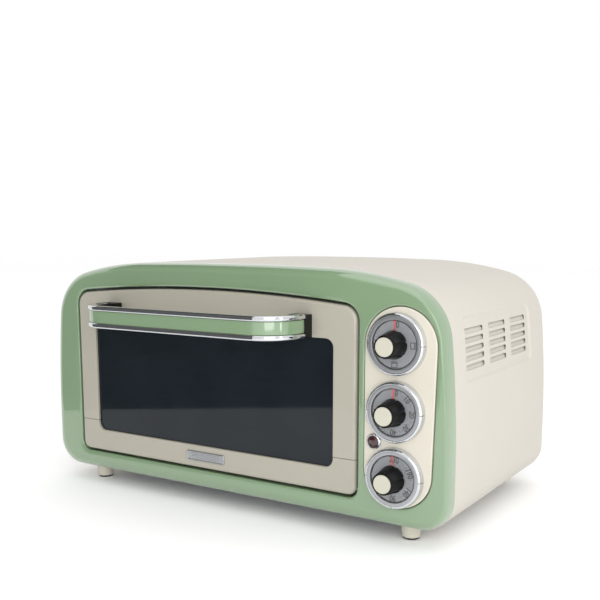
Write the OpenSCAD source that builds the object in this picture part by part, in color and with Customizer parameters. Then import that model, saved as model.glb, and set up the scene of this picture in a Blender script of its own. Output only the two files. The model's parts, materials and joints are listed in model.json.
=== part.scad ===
// Retro-style countertop toaster oven: drop-down door with a bow handle,
// three dials on an inset panel, louvred side walls.
// Millimetres, +X to the right seen from the front, +Y to the rear, +Z up.
// The shapes are drawn with the front frame's face at Y = 0 and are then moved
// so that the origin is at the middle of the whole oven's footprint.

/* [Body] */
// Width of the body
body_w = 460; // [430:1:560]
// Height of the top's crown above the table
body_h = 237.2; // [228:0.1:270]
// Depth of the body behind the front frame's face
body_d = 268; // [215:1:330]
// Height of the body's underside above the table
clearance_h = 15; // [12:0.5:20]
// Depth of the front frame seen from the side
frame_d = 18; // [16:0.5:24]
// Gap between the front frame and the shell
frame_gap = 0.8; // [0.4:0.1:1.2]
// Wall of the front frame
frame_wall = 2.5; // [2:0.1:3]
// Sheet of the shell
shell_t = 1.2; // [0.8:0.1:1.6]
// Radius of the shell's rear edge
rear_roll_r = 16; // [8:1:20]
// Radius of the body's lower corners
bottom_corner_r = 27; // [20:1:32]
// Radius of the body's upper corners
top_corner_r = 52.6; // [45:0.1:60]

/* [Door] */
// Distance from the body's left side to the door
door_margin_left = 42.6; // [38:0.1:50]
// Distance from the door to the body's right side, which holds the controls
control_zone_w = 85.7; // [84:0.1:95]
// Distance from the body's underside to the door
door_margin_bottom = 23; // [21:0.5:26]
// Distance from the door's crown to the top's crown
door_margin_top = 24.9; // [23:0.1:30]
// Depth of the door
door_t = 17; // [15:0.5:17.5]
// Clearance around the door
door_gap = 2.5; // [1.5:0.1:3]
// Height of the door's bottom rail
rail_h = 32.5; // [30:0.5:36]
// Width of the door's side members beside the window
stile_w = 23; // [21:0.5:26]
// Height of the door below the window
window_sill = 22.3; // [20:0.1:24]
// Height of the window
window_h = 115; // [100:1:118]
// Thickness of the window glass
glass_t = 4; // [3:0.5:5]
// Radius of the hinge pins
hinge_pin_r = 2; // [1.5:0.1:2.2]
// How far the hinge axis lies behind the door's face
hinge_inset = 6; // [5:0.1:6.5]
// How far the hinge axis lies above the door's lower edge
hinge_rise = 5.5; // [4.5:0.1:6]

/* [Handle] */
// Length of the handle
handle_len = 243; // [200:1:260]
// Height of the handle with its chrome rails
handle_h = 21.3; // [18:0.1:26]
// Height of each chrome rail
trim_h = 4.75; // [3:0.25:6]
// Distance from the door's face to the handle's front
handle_reach = 51; // [42:1:52]
// Radius of the handle's end bends
handle_bend_r = 36; // [20:1:38]
// Thickness of the handle's painted strap
strap_t = 3; // [2:0.5:5]
// Depth of the chrome rails, front to back
trim_d = 8; // [6:0.5:12]

/* [Dials] */
// Distance between neighbouring dials
dial_pitch = 57.05; // [56:0.05:62]
// Distance from the dials' centre line to the body's right side
dial_inset = 46.7; // [45:0.1:48]
// Outer radius of the chrome dial rings
ring_r = 26.6; // [24:0.1:27]
// Inner radius of the chrome dial rings
ring_bore_r = 20.6; // [18:0.1:21]
// How far the dial rings stand out from the panel
ring_h = 7; // [5:0.5:9]
// Radius of the knob at its base
knob_r = 12.1; // [10:0.1:14]
// Radius of the knob at its tip
knob_tip_r = 9.5; // [8.5:0.1:11]
// How far the knob's tip stands out from the front frame's face
knob_reach = 25; // [22:0.5:30]
// Radius of the cap in the knob's tip
cap_r = 8; // [6:0.1:8.2]
// Radius of the dial shafts
shaft_r = 3; // [2.5:0.1:3.5]
// Running clearance around pins and shafts
running_gap = 0.05; // [0.02:0.01:0.1]

/* [Feet] */
// Distance from the body's side to each foot's axis
foot_inset = 44.3; // [38:0.1:75]
// Distance from the front to the front feet's axis
foot_front_y = 29; // [29:0.5:40]
// Distance from the rear to the rear feet's axis
foot_rear_inset = 24; // [22:0.5:40]
// Radius of the feet at the top
foot_top_r = 9.5; // [8:0.1:11]
// Radius of the feet at the bottom
foot_bottom_r = 8.1; // [7:0.1:9]
// Thickness of the rubber pads
pad_t = 1.5; // [1:0.1:3]

/* [Oven] */
// Distance from the door's ends to the cavity's sides
cavity_inset = 5; // [4:0.5:10]
// Height of the cavity's floor above the table
cavity_floor = 44; // [42:0.5:48]
// Height of the cavity
cavity_h = 162; // [150:1:165]
// Space behind the cavity
cavity_rear_gap = 16; // [12:1:30]
// Sheet of the cavity
cavity_t = 1; // [0.8:0.1:1.2]
// Radius of the heating elements
heater_r = 4; // [3:0.1:4.5]
// Height of the rack's shelf above the cavity's floor
shelf_h = 56; // [50:1:90]
// Spacing of the rack guides
guide_pitch = 28; // [24:1:34]
// Radius of the rack's frame wire
rack_frame_r = 2.2; // [2:0.1:3]
// Radius of the rack's cross wires
rack_wire_r = 1.2; // [1:0.1:1.6]
// Number of the rack's cross wires
rack_wires = 19; // [11:2:25]
// Height of the baking tray
tray_h = 18; // [12:1:24]

/* [Vents] */
// Columns of louvres on each side
vent_columns = 3; // [1:1:3]
// Rows of louvres on each side
vent_rows = 5; // [3:1:6]
// Distance from the front to the first column
vent_start = 48.5; // [36:0.5:56]
// Spacing of the columns
vent_pitch_y = 56.5; // [50:0.5:58]
// Spacing of the rows
vent_pitch_z = 7.84; // [7:0.01:9]
// Length of a louvre
vent_len = 43.2; // [36:0.1:46]
// Height of a louvre
vent_h = 4.5; // [3:0.1:5]
// Height of the upper louvre's lower edge
vent_top = 180.8; // [170:0.1:185]

/* [Hidden] */
$fn = 48;

// Colours
GREEN = "#8FA983";
CREAM = "#E5E1DA";
DOOR_CREAM = "#BDB8A8";
CHROME = "#C8CBD0";
STEEL = "#9A9DA1";
BLACK = "#1C1C1E";

// Thin slice that a rounded edge is blended through
slice = 0.05;
// How far a cut runs past the solid that it cuts
cut = 1;

// Body outline: flat arcs over the top, a rounded corner, and a side that leans in
half_w = body_w / 2;
crown_a = 1.5;              // angle at the end of the top's flat arc
shoulder_a = crown_a + 12.2; // angle at the end of the shoulder arc
corner_a = shoulder_a + 70.4; // angle at the end of the corner arc
shoulder_r = 372;
lean_r = 1090;
crown_r = (half_w - shoulder_r * (sin(shoulder_a) - sin(crown_a))
    - top_corner_r * (sin(corner_a) - sin(shoulder_a))
    - lean_r * (1 - sin(corner_a))) / sin(crown_a);
crown_c = [0, body_h - crown_r];
shoulder_c = crown_c + (crown_r - shoulder_r) * [sin(crown_a), cos(crown_a)];
corner_c = shoulder_c + (shoulder_r - top_corner_r) * [sin(shoulder_a), cos(shoulder_a)];
lean_c = corner_c + (top_corner_r - lean_r) * [sin(corner_a), cos(corner_a)];
bottom_c = [half_w - bottom_corner_r, clearance_h + bottom_corner_r];
middle_z = clearance_h + (body_h - clearance_h) / 2;

// Rounding of the front frame's outer edge, wider at the left, top and bottom
roll_in = 6;
roll_back = 16;
roll_left = 9;
roll_top = 3;
roll_bottom = 8;

// Door
door_x0 = -half_w + door_margin_left;
door_x1 = half_w - control_zone_w;
door_mid = (door_x0 + door_x1) / 2;
door_half = (door_x1 - door_x0) / 2;
door_z0 = clearance_h + door_margin_bottom;
door_z1 = body_h - door_margin_top;
door_rise = 8.6;            // how much higher the door is in the middle than at its corners
door_crown_r = pow(door_half, 2) / (2 * door_rise);
door_top_r = 14;
door_foot_r = 8;
door_corner_z = door_z1 - door_crown_r
    + sqrt(pow(door_crown_r - door_top_r, 2) - pow(door_half - door_top_r, 2));
door_corner_a = atan2(door_half - door_top_r, door_corner_z - (door_z1 - door_crown_r));
seam_z = door_z0 + rail_h;
seam_gap = 0.4;
skin_t = 3;
skin_roll = 3;
glass_lap = 9;
glass_top_lap = 6;
pocket_lap = 11;
window_r = 8;
window_x0 = door_x0 + stile_w;
window_x1 = door_x1 - stile_w;
window_z0 = door_z0 + window_sill;
window_z1 = window_z0 + window_h;
hinge_y = hinge_inset;
hinge_z = door_z0 + hinge_rise;
hinge_pin_in = 12;

// Opening in the front frame, its flange and the hinge brackets outside it
flange_t = 2;
flange_d = door_t + 2;
bracket_t = 2;
hinge_pin_out = door_gap + flange_t + bracket_t;
boss_r = 4;
boss_bore_r = 1.5;
boss_xs = [door_mid - 100, door_mid + 100];
boss_top_z = door_z1 + door_gap + flange_t + boss_r - 1.5;
boss_low_z = clearance_h + 12;

// Control panel and dials
dial_x = half_w - dial_inset;
dial_mid_z = clearance_h + 103.3;
dial_zs = [dial_mid_z + dial_pitch, dial_mid_z, dial_mid_z - dial_pitch];
panel_proud = 0.6;
panel_gap = 0.6;
panel_lap = 1.5;
panel_flange_t = 1.6;
panel_clear = 0.4;
panel_left = door_x1 + 8.7;
panel_top_r = 33;
panel_low_r = 31.6;
plate_y = -5.5;
plate_gap = 0.05;
pointer_t = 0.9;
pointer_gap = 0.5;
pointer_r = ring_bore_r - 0.3;
spigot_r = knob_r - 0.7;
flutes = 6;
shaft_tip_y = -18;
shaft_end_y = 30;
shaft_hole_r = shaft_r + 1;
lamp_x = panel_left + 9.8;
lamp_z = dial_zs[1] - 28;
lamp_r = 7;
lens_r = 5;
bracket_y = 14;
bracket_sheet = 1.2;
thermostat_d = 26;
bushing_r = 5;
bushing_nose_y = 8;
post_r = 3.5;
post_xs = [panel_left + 7, dial_x + 27.5];
post_zs = [dial_mid_z + 29.5, dial_mid_z - 15];

// Shell, panels and feet
shell_y0 = frame_d + frame_gap;
lip_gap = 0.3;
lip_t = 1.5;
lip_d = 8;
foot_x = half_w - foot_inset;
foot_lap = 4.2;             // how far the shell's flange reaches past the feet
opening_x = foot_x - foot_top_r - foot_lap;
panel_sheet = 1.2;
bottom_half = half_w - bottom_corner_r - 1;
bottom_y0 = shell_y0 + 1;
bottom_y1 = body_d - rear_roll_r - 2;
bottom_z = clearance_h + shell_t;
back_y = body_d - shell_t - panel_sheet;
back_open = 26;
screw_r = 1.75;
screw_hole_r = 2;
screw_head_r = 3.5;
screw_head_h = 1.8;
foot_xs = [-foot_x, foot_x];
foot_ys = [foot_front_y, body_d - foot_rear_inset];
bottom_screw_x = (opening_x + bottom_half) / 2;
bottom_screw_ys = [foot_ys[0] + 33, foot_ys[1] - 36];
// Where screws pass through the bottom panel and the shell's flange
underside_spots = [for (s = [-1, 1]) each concat([for (y = foot_ys) [s * foot_x, y]],
    [for (y = bottom_screw_ys) [s * bottom_screw_x, y]])];

// Oven cavity
cavity_x0 = door_x0 + cavity_inset;
cavity_x1 = door_x1 - cavity_inset;
cavity_z0 = cavity_floor;
cavity_z1 = cavity_floor + cavity_h;
cavity_y0 = flange_d;
cavity_y1 = body_d - cavity_rear_gap;
cavity_r = 10;
guide_w = 8;
guide_r = 2.5;
guide_y0 = cavity_y0 + 12;
guide_y1 = cavity_y1 - 12;
shelf_z = cavity_floor + shelf_h;
guide_zs = [for (i = [-1:1]) shelf_z + i * guide_pitch - guide_r];
shield_x = cavity_x1 + 5.5;
heater_ys = [cavity_y0 + 70, cavity_y1 - 65];
upper_z = cavity_z1 - 16;
lower_z = cavity_z0 + 16;
heater_over = 13;
insulator_r = 6.5;
insulator_flange_r = 8.5;
insulator_flange_t = 2;
insulator_gap = 0.1;
bulb_y = cavity_y0 + 82;
bulb_z = cavity_z1 - 6.5;
bulb_len = 90;
capillary_r = 1.2;
capillary_x = shield_x + 20;

// Rack, tray and crumb tray
rack_gap = 2;
rack_x0 = cavity_x0 + cavity_t + rack_gap;
rack_x1 = cavity_x1 - cavity_t - rack_gap;
rack_y0 = cavity_y0 + 9;
rack_y1 = cavity_y1 - 14;
rack_z = shelf_z + rack_frame_r + 0.3;
tray_inset = 16;
tray_corner_r = 16;
tray_rim = 5;
tray_sheet = 1;
wire_rise = 0.5;
crumb_gap = 1;
crumb_h = 7;

// Cord gland and terminal block
gland_x = -half_w + 62;
gland_z = clearance_h + 40;
gland_r = 7.5;
gland_hole_r = 5.5;

// The whole oven's footprint runs from the handle's face to the cord gland's end
gland_out = 9;
front_y = -handle_reach;
rear_y = body_d + gland_out;
origin_y = (front_y + rear_y) / 2;

// ---- Helpers ----

// Points of an arc about c, with angles from straight up, clockwise
function arc(c, r, a0, a1, n) =
    [for (i = [0:n]) let (a = a0 + (a1 - a0) * i / n) c + r * [sin(a), cos(a)]];

// The points of a right-hand outline and, in order, their mirror images
function both_sides(pts, mid = 0) =
    concat(pts, [for (i = [len(pts) - 1:-1:0]) [2 * mid - pts[i][0], pts[i][1]]]);

// The body's outline, moved inwards
function body_outline(inset = 0) = both_sides(concat(
    [for (p = arc(crown_c, crown_r - inset, crown_a / 3, crown_a, 2)) p],
    arc(shoulder_c, shoulder_r - inset, crown_a + 2.4, shoulder_a, 4),
    arc(corner_c, top_corner_r - inset, shoulder_a + 5, corner_a, 13),
    arc(lean_c, lean_r - inset, corner_a + 2, 90, 2),
    arc(bottom_c, bottom_corner_r - inset, 90, 180, 9)));

// The front frame's outline at a share of its rounded edge, 0 at the rim and 1 at the face
function rolled_outline(inset, share) = [for (p = body_outline(inset))
    [p[0] * (p[0] < 0 ? 1 - share * roll_left / half_w : 1),
     middle_z + (p[1] - middle_z)
        * (1 - share * (p[1] > middle_z ? roll_top : roll_bottom) / (body_h - middle_z))]];

// The door's outline, moved outwards
function door_outline(grow = 0) = both_sides(concat(
    arc([door_mid, door_z1 - door_crown_r], door_crown_r + grow, 0.4, door_corner_a, 5),
    arc([door_x1 - door_top_r, door_corner_z], door_top_r + grow, door_corner_a + 8, 90, 7),
    arc([door_x1 - door_foot_r, door_z0 + door_foot_r], door_foot_r + grow, 90, 180, 5)), door_mid);

// A rectangle with rounded corners
function round_rect(x0, x1, z0, z1, r, n = 5) = concat(
    arc([x1 - r, z1 - r], r, 0, 90, n), arc([x1 - r, z0 + r], r, 90, 180, n),
    arc([x0 + r, z0 + r], r, 180, 270, n), arc([x0 + r, z1 - r], r, 270, 360, n));

function window_outline(grow = 0) = round_rect(window_x0 - grow, window_x1 + grow,
    window_z0 - grow, window_z1 + grow, window_r + grow);

// The control panel's outline, round at both ends
function panel_outline(grow = 0) = let (lean = atan2(2 * (panel_top_r - panel_low_r), 2 * dial_pitch))
    concat(
        arc([panel_left + panel_top_r, dial_zs[0] - 2], panel_top_r + grow, -90, 90 + lean, 22),
        arc([panel_left + panel_low_r, dial_zs[2] + 5], panel_low_r + grow, 90 + lean, 270, 20));

// An outline in X and Z made solid from y0 to y1
module slab(y0, y1) {
    translate([0, y1, 0]) rotate([90, 0, 0]) linear_extrude(y1 - y0) children();
}

// A cylinder along Y from y0 to y1
module rod_y(x, z, r, y0, y1) {
    translate([x, y1, z]) rotate([90, 0, 0]) cylinder(r = r, h = y1 - y0);
}

// A cylinder along X from x0 to x1
module rod_x(y, z, r, x0, x1) {
    translate([x0, y, z]) rotate([0, 90, 0]) cylinder(r = r, h = x1 - x0);
}

// A block given by its two corners
module block(low, high) {
    translate(low) cube(high - low);
}

// A profile of radius and height turned about an axis along -Y, from the panel's front
module turned(x, z, y = 0) {
    translate([x, y, z]) rotate([90, 0, 0]) rotate_extrude($fn = 96) children();
}

// A pan-head screw with its head's seat at z = 0 and its shank downwards
module screw(len, r = screw_r, head_r = screw_head_r, head_h = screw_head_h) {
    translate([0, 0, -len]) cylinder(r = r, h = len);
    difference() {
        cylinder(r1 = head_r, r2 = head_r * 0.8, h = head_h);
        for (a = [0, 90])
            rotate([0, 0, a]) translate([-head_r * 0.5, -0.4, head_h - 0.9]) cube([head_r, 0.8, 2]);
    }
}

// The front frame's solid shape with its rounded edge, inside a wall
module frame_form(wall) {
    hull() {
        for (t = [15:15:90]) {
            y = wall + (roll_back - wall) * (1 - sin(t));
            slab(y, y + slice) polygon(rolled_outline(wall + roll_in * (1 - cos(t)), 1 - cos(t)));
        }
        slab(roll_back, frame_d + (wall > 0 ? cut : 0)) polygon(body_outline(wall));
    }
}

// The shell's solid shape with its rounded rear edge, inside a wall
module shell_form(wall) {
    hull() {
        slab(shell_y0 - (wall > 0 ? cut : 0), body_d - rear_roll_r) polygon(body_outline(wall));
        for (t = [15:15:90]) {
            y = body_d - rear_roll_r + (rear_roll_r - wall) * sin(t);
            slab(y - slice, y)
                polygon(body_outline(wall + (rear_roll_r - wall) * (1 - cos(t))));
        }
    }
}

// Where the screws through the shell's rear lip go
back_screw_inset = back_open - 5;
back_screw_spots = let (o = body_outline(back_screw_inset), n = len(o)) concat(
    [for (i = [4, 15, 24]) each [o[i], o[n - 1 - i]]],
    [for (x = [-0.55, 0.55]) [x * half_w, clearance_h + back_screw_inset]]);

// ---- Body ----

module front_frame() {
    color(GREEN) difference() {
        union() {
            difference() {
                frame_form(0);
                frame_form(frame_wall);
            }
            // Flange that lines the door opening
            slab(frame_wall - 0.5, flange_d) difference() {
                polygon(door_outline(door_gap + flange_t));
                polygon(door_outline(door_gap));
            }
            // Lip that the shell slides over
            slab(frame_d - 6, frame_d + lip_d) difference() {
                polygon(body_outline(shell_t + lip_gap));
                polygon(body_outline(shell_t + lip_gap + lip_t));
            }
            for (x = boss_xs, z = [boss_top_z, boss_low_z])
                rod_y(x, z, boss_r, frame_wall - 0.5, flange_d);
        }
        slab(-cut, flange_d + cut) polygon(door_outline(door_gap));
        slab(-cut, 2 * frame_wall + 1) polygon(panel_outline(panel_gap));
        // Seat for the control panel's flange, behind the rounded edge
        slab(frame_wall, frame_wall + panel_flange_t + panel_clear)
            polygon(panel_outline(panel_lap + panel_clear));
        // The lip stops beside the bottom panel
        block([-bottom_half - 1, frame_d, clearance_h],
            [bottom_half + 1, frame_d + lip_d + cut, clearance_h + 6]);
        for (x = [door_x0 - door_gap - flange_t - cut, door_x1])
            rod_x(hinge_y, hinge_z, hinge_pin_r + 0.6, x, x + door_gap + flange_t + cut);
        for (x = boss_xs, z = [boss_top_z, boss_low_z])
            rod_y(x, z, boss_bore_r, flange_d - 11, flange_d + cut);
    }
}

// One louvre's slot through a side wall, drawn in Y and Z
module louvre_slot() {
    polygon(round_rect(0, vent_len, 0, vent_h, vent_h / 2 - 0.1, 4));
}

module outer_shell() {
    color(CREAM) difference() {
        shell_form(0);
        shell_form(shell_t);
        // Underside, which the bottom panel closes
        block([-opening_x, shell_y0 - cut, clearance_h - cut],
            [opening_x, body_d - rear_roll_r - 8, clearance_h + shell_t + cut]);
        // Rear, which the back panel closes
        slab(body_d - shell_t - cut, body_d + cut) polygon(body_outline(back_open));
        for (side = [0, 1], i = [0:vent_columns - 1], j = [0:vent_rows - 1])
            mirror([side, 0, 0])
                translate([half_w - 25, vent_start + i * vent_pitch_y, vent_top - j * vent_pitch_z])
                    rotate([90, 0, 90]) linear_extrude(40) louvre_slot();
        for (p = back_screw_spots)
            rod_y(p[0], p[1], screw_hole_r, body_d - shell_t - cut, body_d + cut);
        for (p = underside_spots)
            translate([p[0], p[1], clearance_h - cut]) cylinder(r = screw_hole_r, h = shell_t + 2 * cut);
    }
}

module back_panel() {
    slots = 9;
    slot_pitch = 9;
    slot_w = 60;
    color(STEEL) difference() {
        slab(back_y, back_y + panel_sheet) polygon(body_outline(rear_roll_r + 0.4));
        for (x = [-half_w * 0.45, half_w * 0.52], i = [0:slots - 1])
            slab(back_y - cut, back_y + panel_sheet + cut)
                polygon(round_rect(x - slot_w / 2, x + slot_w / 2,
                    middle_z + i * slot_pitch - 20, middle_z + i * slot_pitch - 16, 1.9, 4));
        rod_y(gland_x, gland_z, gland_r + 0.1, back_y - cut, back_y + panel_sheet + cut);
        for (p = back_screw_spots)
            rod_y(p[0], p[1], screw_hole_r, back_y - cut, back_y + panel_sheet + cut);
    }
}

module bottom_panel() {
    slot_pitch = 26;
    color(STEEL) difference() {
        block([-bottom_half, bottom_y0, bottom_z], [bottom_half, bottom_y1, bottom_z + panel_sheet]);
        for (i = [-5:5], y = [bottom_y0 + 60, bottom_y1 - 90])
            block([i * slot_pitch - 4, y, bottom_z - cut], [i * slot_pitch + 4, y + 30, bottom_z + 3]);
        for (p = underside_spots)
            translate([p[0], p[1], bottom_z - cut]) cylinder(r = screw_hole_r, h = panel_sheet + 2 * cut);
    }
}

module feet() {
    color(CREAM) for (x = foot_xs, y = foot_ys) translate([x, y, 0]) difference() {
        translate([0, 0, pad_t])
            cylinder(r1 = foot_bottom_r, r2 = foot_top_r, h = clearance_h - pad_t);
        translate([0, 0, pad_t + 3]) cylinder(r = screw_r, h = clearance_h);
    }
}

module foot_pads() {
    color(BLACK) for (x = foot_xs, y = foot_ys)
        translate([x, y, 0]) cylinder(r = foot_bottom_r - 0.6, h = pad_t);
}

module foot_screws() {
    color(STEEL) for (x = foot_xs, y = foot_ys)
        translate([x, y, bottom_z + panel_sheet]) screw(bottom_z + panel_sheet - pad_t - 4);
}

module back_screws() {
    color(STEEL) for (p = back_screw_spots)
        translate([p[0], body_d, p[1]]) rotate([-90, 0, 0]) screw(7);
}

module bottom_screws() {
    color(STEEL) for (x = [-1, 1], y = bottom_screw_ys)
        translate([x * bottom_screw_x, y, clearance_h]) rotate([180, 0, 0]) screw(7);
}

// ---- Oven ----

// Where the heating elements pass through the cavity's sides: [y, z]
heater_spots = [for (y = heater_ys, z = [upper_z, lower_z]) [y, z]];

function cavity_outline(grow) = round_rect(cavity_x0 - grow, cavity_x1 + grow,
    cavity_z0 - grow, cavity_z1 + grow, cavity_r + grow, 6);

module oven_cavity() {
    color(STEEL) difference() {
        union() {
            // Box with its back
            difference() {
                slab(cavity_y0, cavity_y1) polygon(cavity_outline(0));
                slab(cavity_y0 - cut, cavity_y1 - cavity_t) polygon(cavity_outline(-cavity_t));
            }
            // Front flange that is screwed to the frame's bosses
            slab(cavity_y0, cavity_y0 + cavity_t) difference() {
                polygon(round_rect(door_x0 - 7, door_x1 + 6, boss_low_z - boss_r - 1,
                    boss_top_z + boss_r, 22, 6));
                polygon(cavity_outline(-cavity_t));
            }
            // Ledges with a rounded nose that the rack slides on
            for (z = guide_zs) {
                block([cavity_x0, guide_y0, z - guide_r],
                    [cavity_x0 + guide_w - guide_r, guide_y1, z + guide_r]);
                rod_y(cavity_x0 + guide_w - guide_r, z, guide_r, guide_y0, guide_y1);
                block([cavity_x1 - guide_w + guide_r, guide_y0, z - guide_r],
                    [cavity_x1, guide_y1, z + guide_r]);
                rod_y(cavity_x1 - guide_w + guide_r, z, guide_r, guide_y0, guide_y1);
            }
        }
        for (p = heater_spots)
            rod_x(p[0], p[1], insulator_r + insulator_gap, cavity_x0 - cut, cavity_x1 + cut);
        rod_x(bulb_y, bulb_z, capillary_r + 0.3, cavity_x1 - cavity_r, cavity_x1 + cut);
        for (x = boss_xs, z = [boss_top_z, boss_low_z])
            rod_y(x, z, screw_hole_r, cavity_y0 - cut, cavity_y0 + cavity_t + cut);
    }
}

module cavity_screws() {
    color(STEEL) for (x = boss_xs, z = [boss_top_z, boss_low_z])
        translate([x, cavity_y0 + cavity_t, z]) rotate([-90, 0, 0]) screw(10, boss_bore_r);
}

module heat_shield() {
    t = 0.8;
    color(STEEL) difference() {
        union() {
            block([shield_x, cavity_y0 + cavity_t + 1, bottom_z + panel_sheet],
                [shield_x + t, cavity_y1, cavity_z1 + 4]);
            block([shield_x - 12, cavity_y0 + 12, bottom_z + panel_sheet],
                [shield_x + t, cavity_y1, bottom_z + panel_sheet + t]);
        }
        for (p = heater_spots) rod_x(p[0], p[1], insulator_r - 0.5, shield_x - cut, shield_x + t + cut);
        rod_x(bulb_y, bulb_z, capillary_r + 2, shield_x - cut, shield_x + t + cut);
    }
}

// A heating element from side to side, with thinner terminal pins at its ends
module heater(y, z) {
    rod_x(y, z, heater_r, cavity_x0 - 4, cavity_x1 + 4);
    for (x = [cavity_x0 - heater_over, cavity_x1 + 3.5])
        rod_x(y, z, heater_r * 0.45, x, x + heater_over - 3.5);
}

module upper_heaters() {
    color(STEEL) for (y = heater_ys) heater(y, upper_z);
}

module lower_heaters() {
    color(STEEL) for (y = heater_ys) heater(y, lower_z);
}

module heater_insulators() {
    color("white") for (p = heater_spots, s = [0, 1]) {
        wall_x = s == 0 ? cavity_x0 : cavity_x1;
        out = s == 0 ? -1 : 1;
        difference() {
            union() {
                rod_x(p[0], p[1], insulator_r, wall_x - 4, wall_x + 4);
                rod_x(p[0], p[1], insulator_flange_r, wall_x + out * insulator_flange_t / 2
                    - insulator_flange_t / 2, wall_x + out * insulator_flange_t / 2 + insulator_flange_t / 2);
            }
            rod_x(p[0], p[1], heater_r, wall_x - 6, wall_x + 6);
        }
    }
}

module crumb_tray() {
    x0 = cavity_x0 + cavity_r + crumb_gap;
    x1 = cavity_x1 - cavity_r - crumb_gap;
    z0 = cavity_z0 + cavity_t;
    y0 = cavity_y0 + 3;
    color(STEEL) difference() {
        block([x0, y0, z0], [x1, cavity_y1 - 8, z0 + crumb_h]);
        block([x0 + tray_sheet, y0 + tray_sheet, z0 + tray_sheet],
            [x1 - tray_sheet, cavity_y1 - 8 - tray_sheet, z0 + crumb_h + cut]);
    }
}

module wire_rack() {
    step = (rack_x1 - rack_x0 - 2 * rack_frame_r) / (rack_wires + 1);
    color(CHROME) union() {
        for (x = [rack_x0 + rack_frame_r, rack_x1 - rack_frame_r])
            rod_y(x, rack_z, rack_frame_r, rack_y0, rack_y1);
        for (y = [rack_y0 + rack_frame_r, (rack_y0 + rack_y1) / 2, rack_y1 - rack_frame_r])
            rod_x(y, rack_z - 0.3, rack_frame_r - 0.3, rack_x0 + rack_frame_r, rack_x1 - rack_frame_r);
        for (i = [1:rack_wires])
            rod_y(rack_x0 + rack_frame_r + i * step, rack_z + wire_rise, rack_wire_r,
                rack_y0 + rack_frame_r, rack_y1 - rack_frame_r);
    }
}

module baking_tray() {
    x0 = rack_x0 + tray_inset;
    x1 = rack_x1 - tray_inset;
    y0 = rack_y0 + tray_inset;
    y1 = rack_y1 - tray_inset;
    z0 = rack_z + wire_rise + rack_wire_r + 0.05;
    color(BLACK) difference() {
        union() {
            translate([0, 0, z0]) linear_extrude(tray_h)
                polygon(round_rect(x0, x1, y0, y1, tray_corner_r, 6));
            translate([0, 0, z0 + tray_h - tray_sheet]) linear_extrude(tray_sheet)
                polygon(round_rect(x0 - tray_rim, x1 + tray_rim, y0 - tray_rim, y1 + tray_rim,
                    tray_corner_r + tray_rim, 6));
        }
        translate([0, 0, z0 + tray_sheet]) linear_extrude(tray_h + cut)
            polygon(round_rect(x0 + tray_sheet, x1 - tray_sheet, y0 + tray_sheet, y1 - tray_sheet,
                tray_corner_r - tray_sheet, 6));
    }
}

// ---- Controls ----

module control_panel() {
    color(CREAM) difference() {
        union() {
            slab(-panel_proud, frame_wall) polygon(panel_outline());
            slab(frame_wall, frame_wall + panel_flange_t) polygon(panel_outline(panel_lap));
            for (x = post_xs, z = post_zs) rod_y(x, z, post_r, frame_wall + 1, bracket_y);
        }
        for (z = dial_zs) rod_y(dial_x, z, shaft_hole_r + 3, -panel_proud - cut, frame_wall + 3);
        rod_y(lamp_x, lamp_z, lens_r + 0.6, -panel_proud - cut, frame_wall + 3);
        for (x = post_xs, z = post_zs) rod_y(x, z, 1.2, bracket_y - 8, bracket_y + cut);
    }
}

module dial_rings() {
    r = 2.2;
    color(CHROME) for (z = dial_zs) turned(dial_x, z) polygon(concat(
        [[ring_bore_r, panel_proud], [ring_r, panel_proud], [ring_r, panel_proud + 1.2]],
        [for (a = [0:15:90]) [ring_r - 0.6 - r + r * cos(a), ring_h - r + r * sin(a)]],
        [[ring_bore_r, ring_h]]));
}

module dial_plates() {
    color(STEEL) for (z = dial_zs) turned(dial_x, z) polygon([
        [shaft_hole_r, -plate_y - 1.2], [ring_bore_r - 2, -plate_y - 1.2],
        [ring_bore_r - 2, panel_proud], [ring_bore_r - plate_gap, panel_proud],
        [ring_bore_r - plate_gap, -plate_y], [shaft_hole_r, -plate_y]]);
}

module lamp_bezel() {
    color(CHROME) turned(lamp_x, lamp_z) polygon([
        [lens_r + 0.05, -frame_wall - 2], [lens_r + 0.55, -frame_wall - 2],
        [lens_r + 0.55, panel_proud], [lamp_r, panel_proud], [lamp_r, panel_proud + 1],
        [lamp_r - 0.8, panel_proud + 2], [lens_r + 0.4, panel_proud + 2.2],
        [lens_r + 0.05, panel_proud + 1.4]]);
}

module lamp_lens() {
    dome = 1.6;
    color([0.5, 0.05, 0.05]) turned(lamp_x, lamp_z) polygon(concat(
        [[0, -frame_wall - 2], [lens_r, -frame_wall - 2]],
        [for (a = [0:15:90]) [lens_r * cos(a), panel_proud + dome * sin(a)]]));
}

module lamp_holder() {
    y0 = frame_wall + 2;
    color(BLACK) difference() {
        union() {
            rod_y(lamp_x, lamp_z, lens_r + 0.5, y0, y0 + 18);
            for (s = [-1, 1]) block([lamp_x + s * 2.5 - 0.4, y0 + 17, lamp_z - 2],
                [lamp_x + s * 2.5 + 0.4, y0 + 24, lamp_z + 2]);
        }
        rod_y(lamp_x, lamp_z, lens_r - 1.5, y0, y0 + 12);
    }
}

module control_bracket() {
    x0 = panel_left + 1;
    x1 = dial_x + 32;
    z0 = dial_zs[2] - 21;
    z1 = dial_zs[0] + 21;
    color(STEEL) difference() {
        union() {
            slab(bracket_y, bracket_y + bracket_sheet) polygon([[x0, z0], [x1, z0], [x1, z1], [x0, z1]]);
            for (z = [z0, z1 - bracket_sheet])
                block([x0, bracket_y, z], [x1, bracket_y + 9, z + bracket_sheet]);
        }
        for (z = dial_zs) rod_y(dial_x, z, bushing_r + 0.1, bracket_y - cut, bracket_y + 3);
        rod_y(lamp_x, lamp_z, lens_r + 0.7, bracket_y - cut, bracket_y + 3);
        for (x = post_xs, z = post_zs) rod_y(x, z, 1.5, bracket_y - cut, bracket_y + 3);
    }
}

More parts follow.
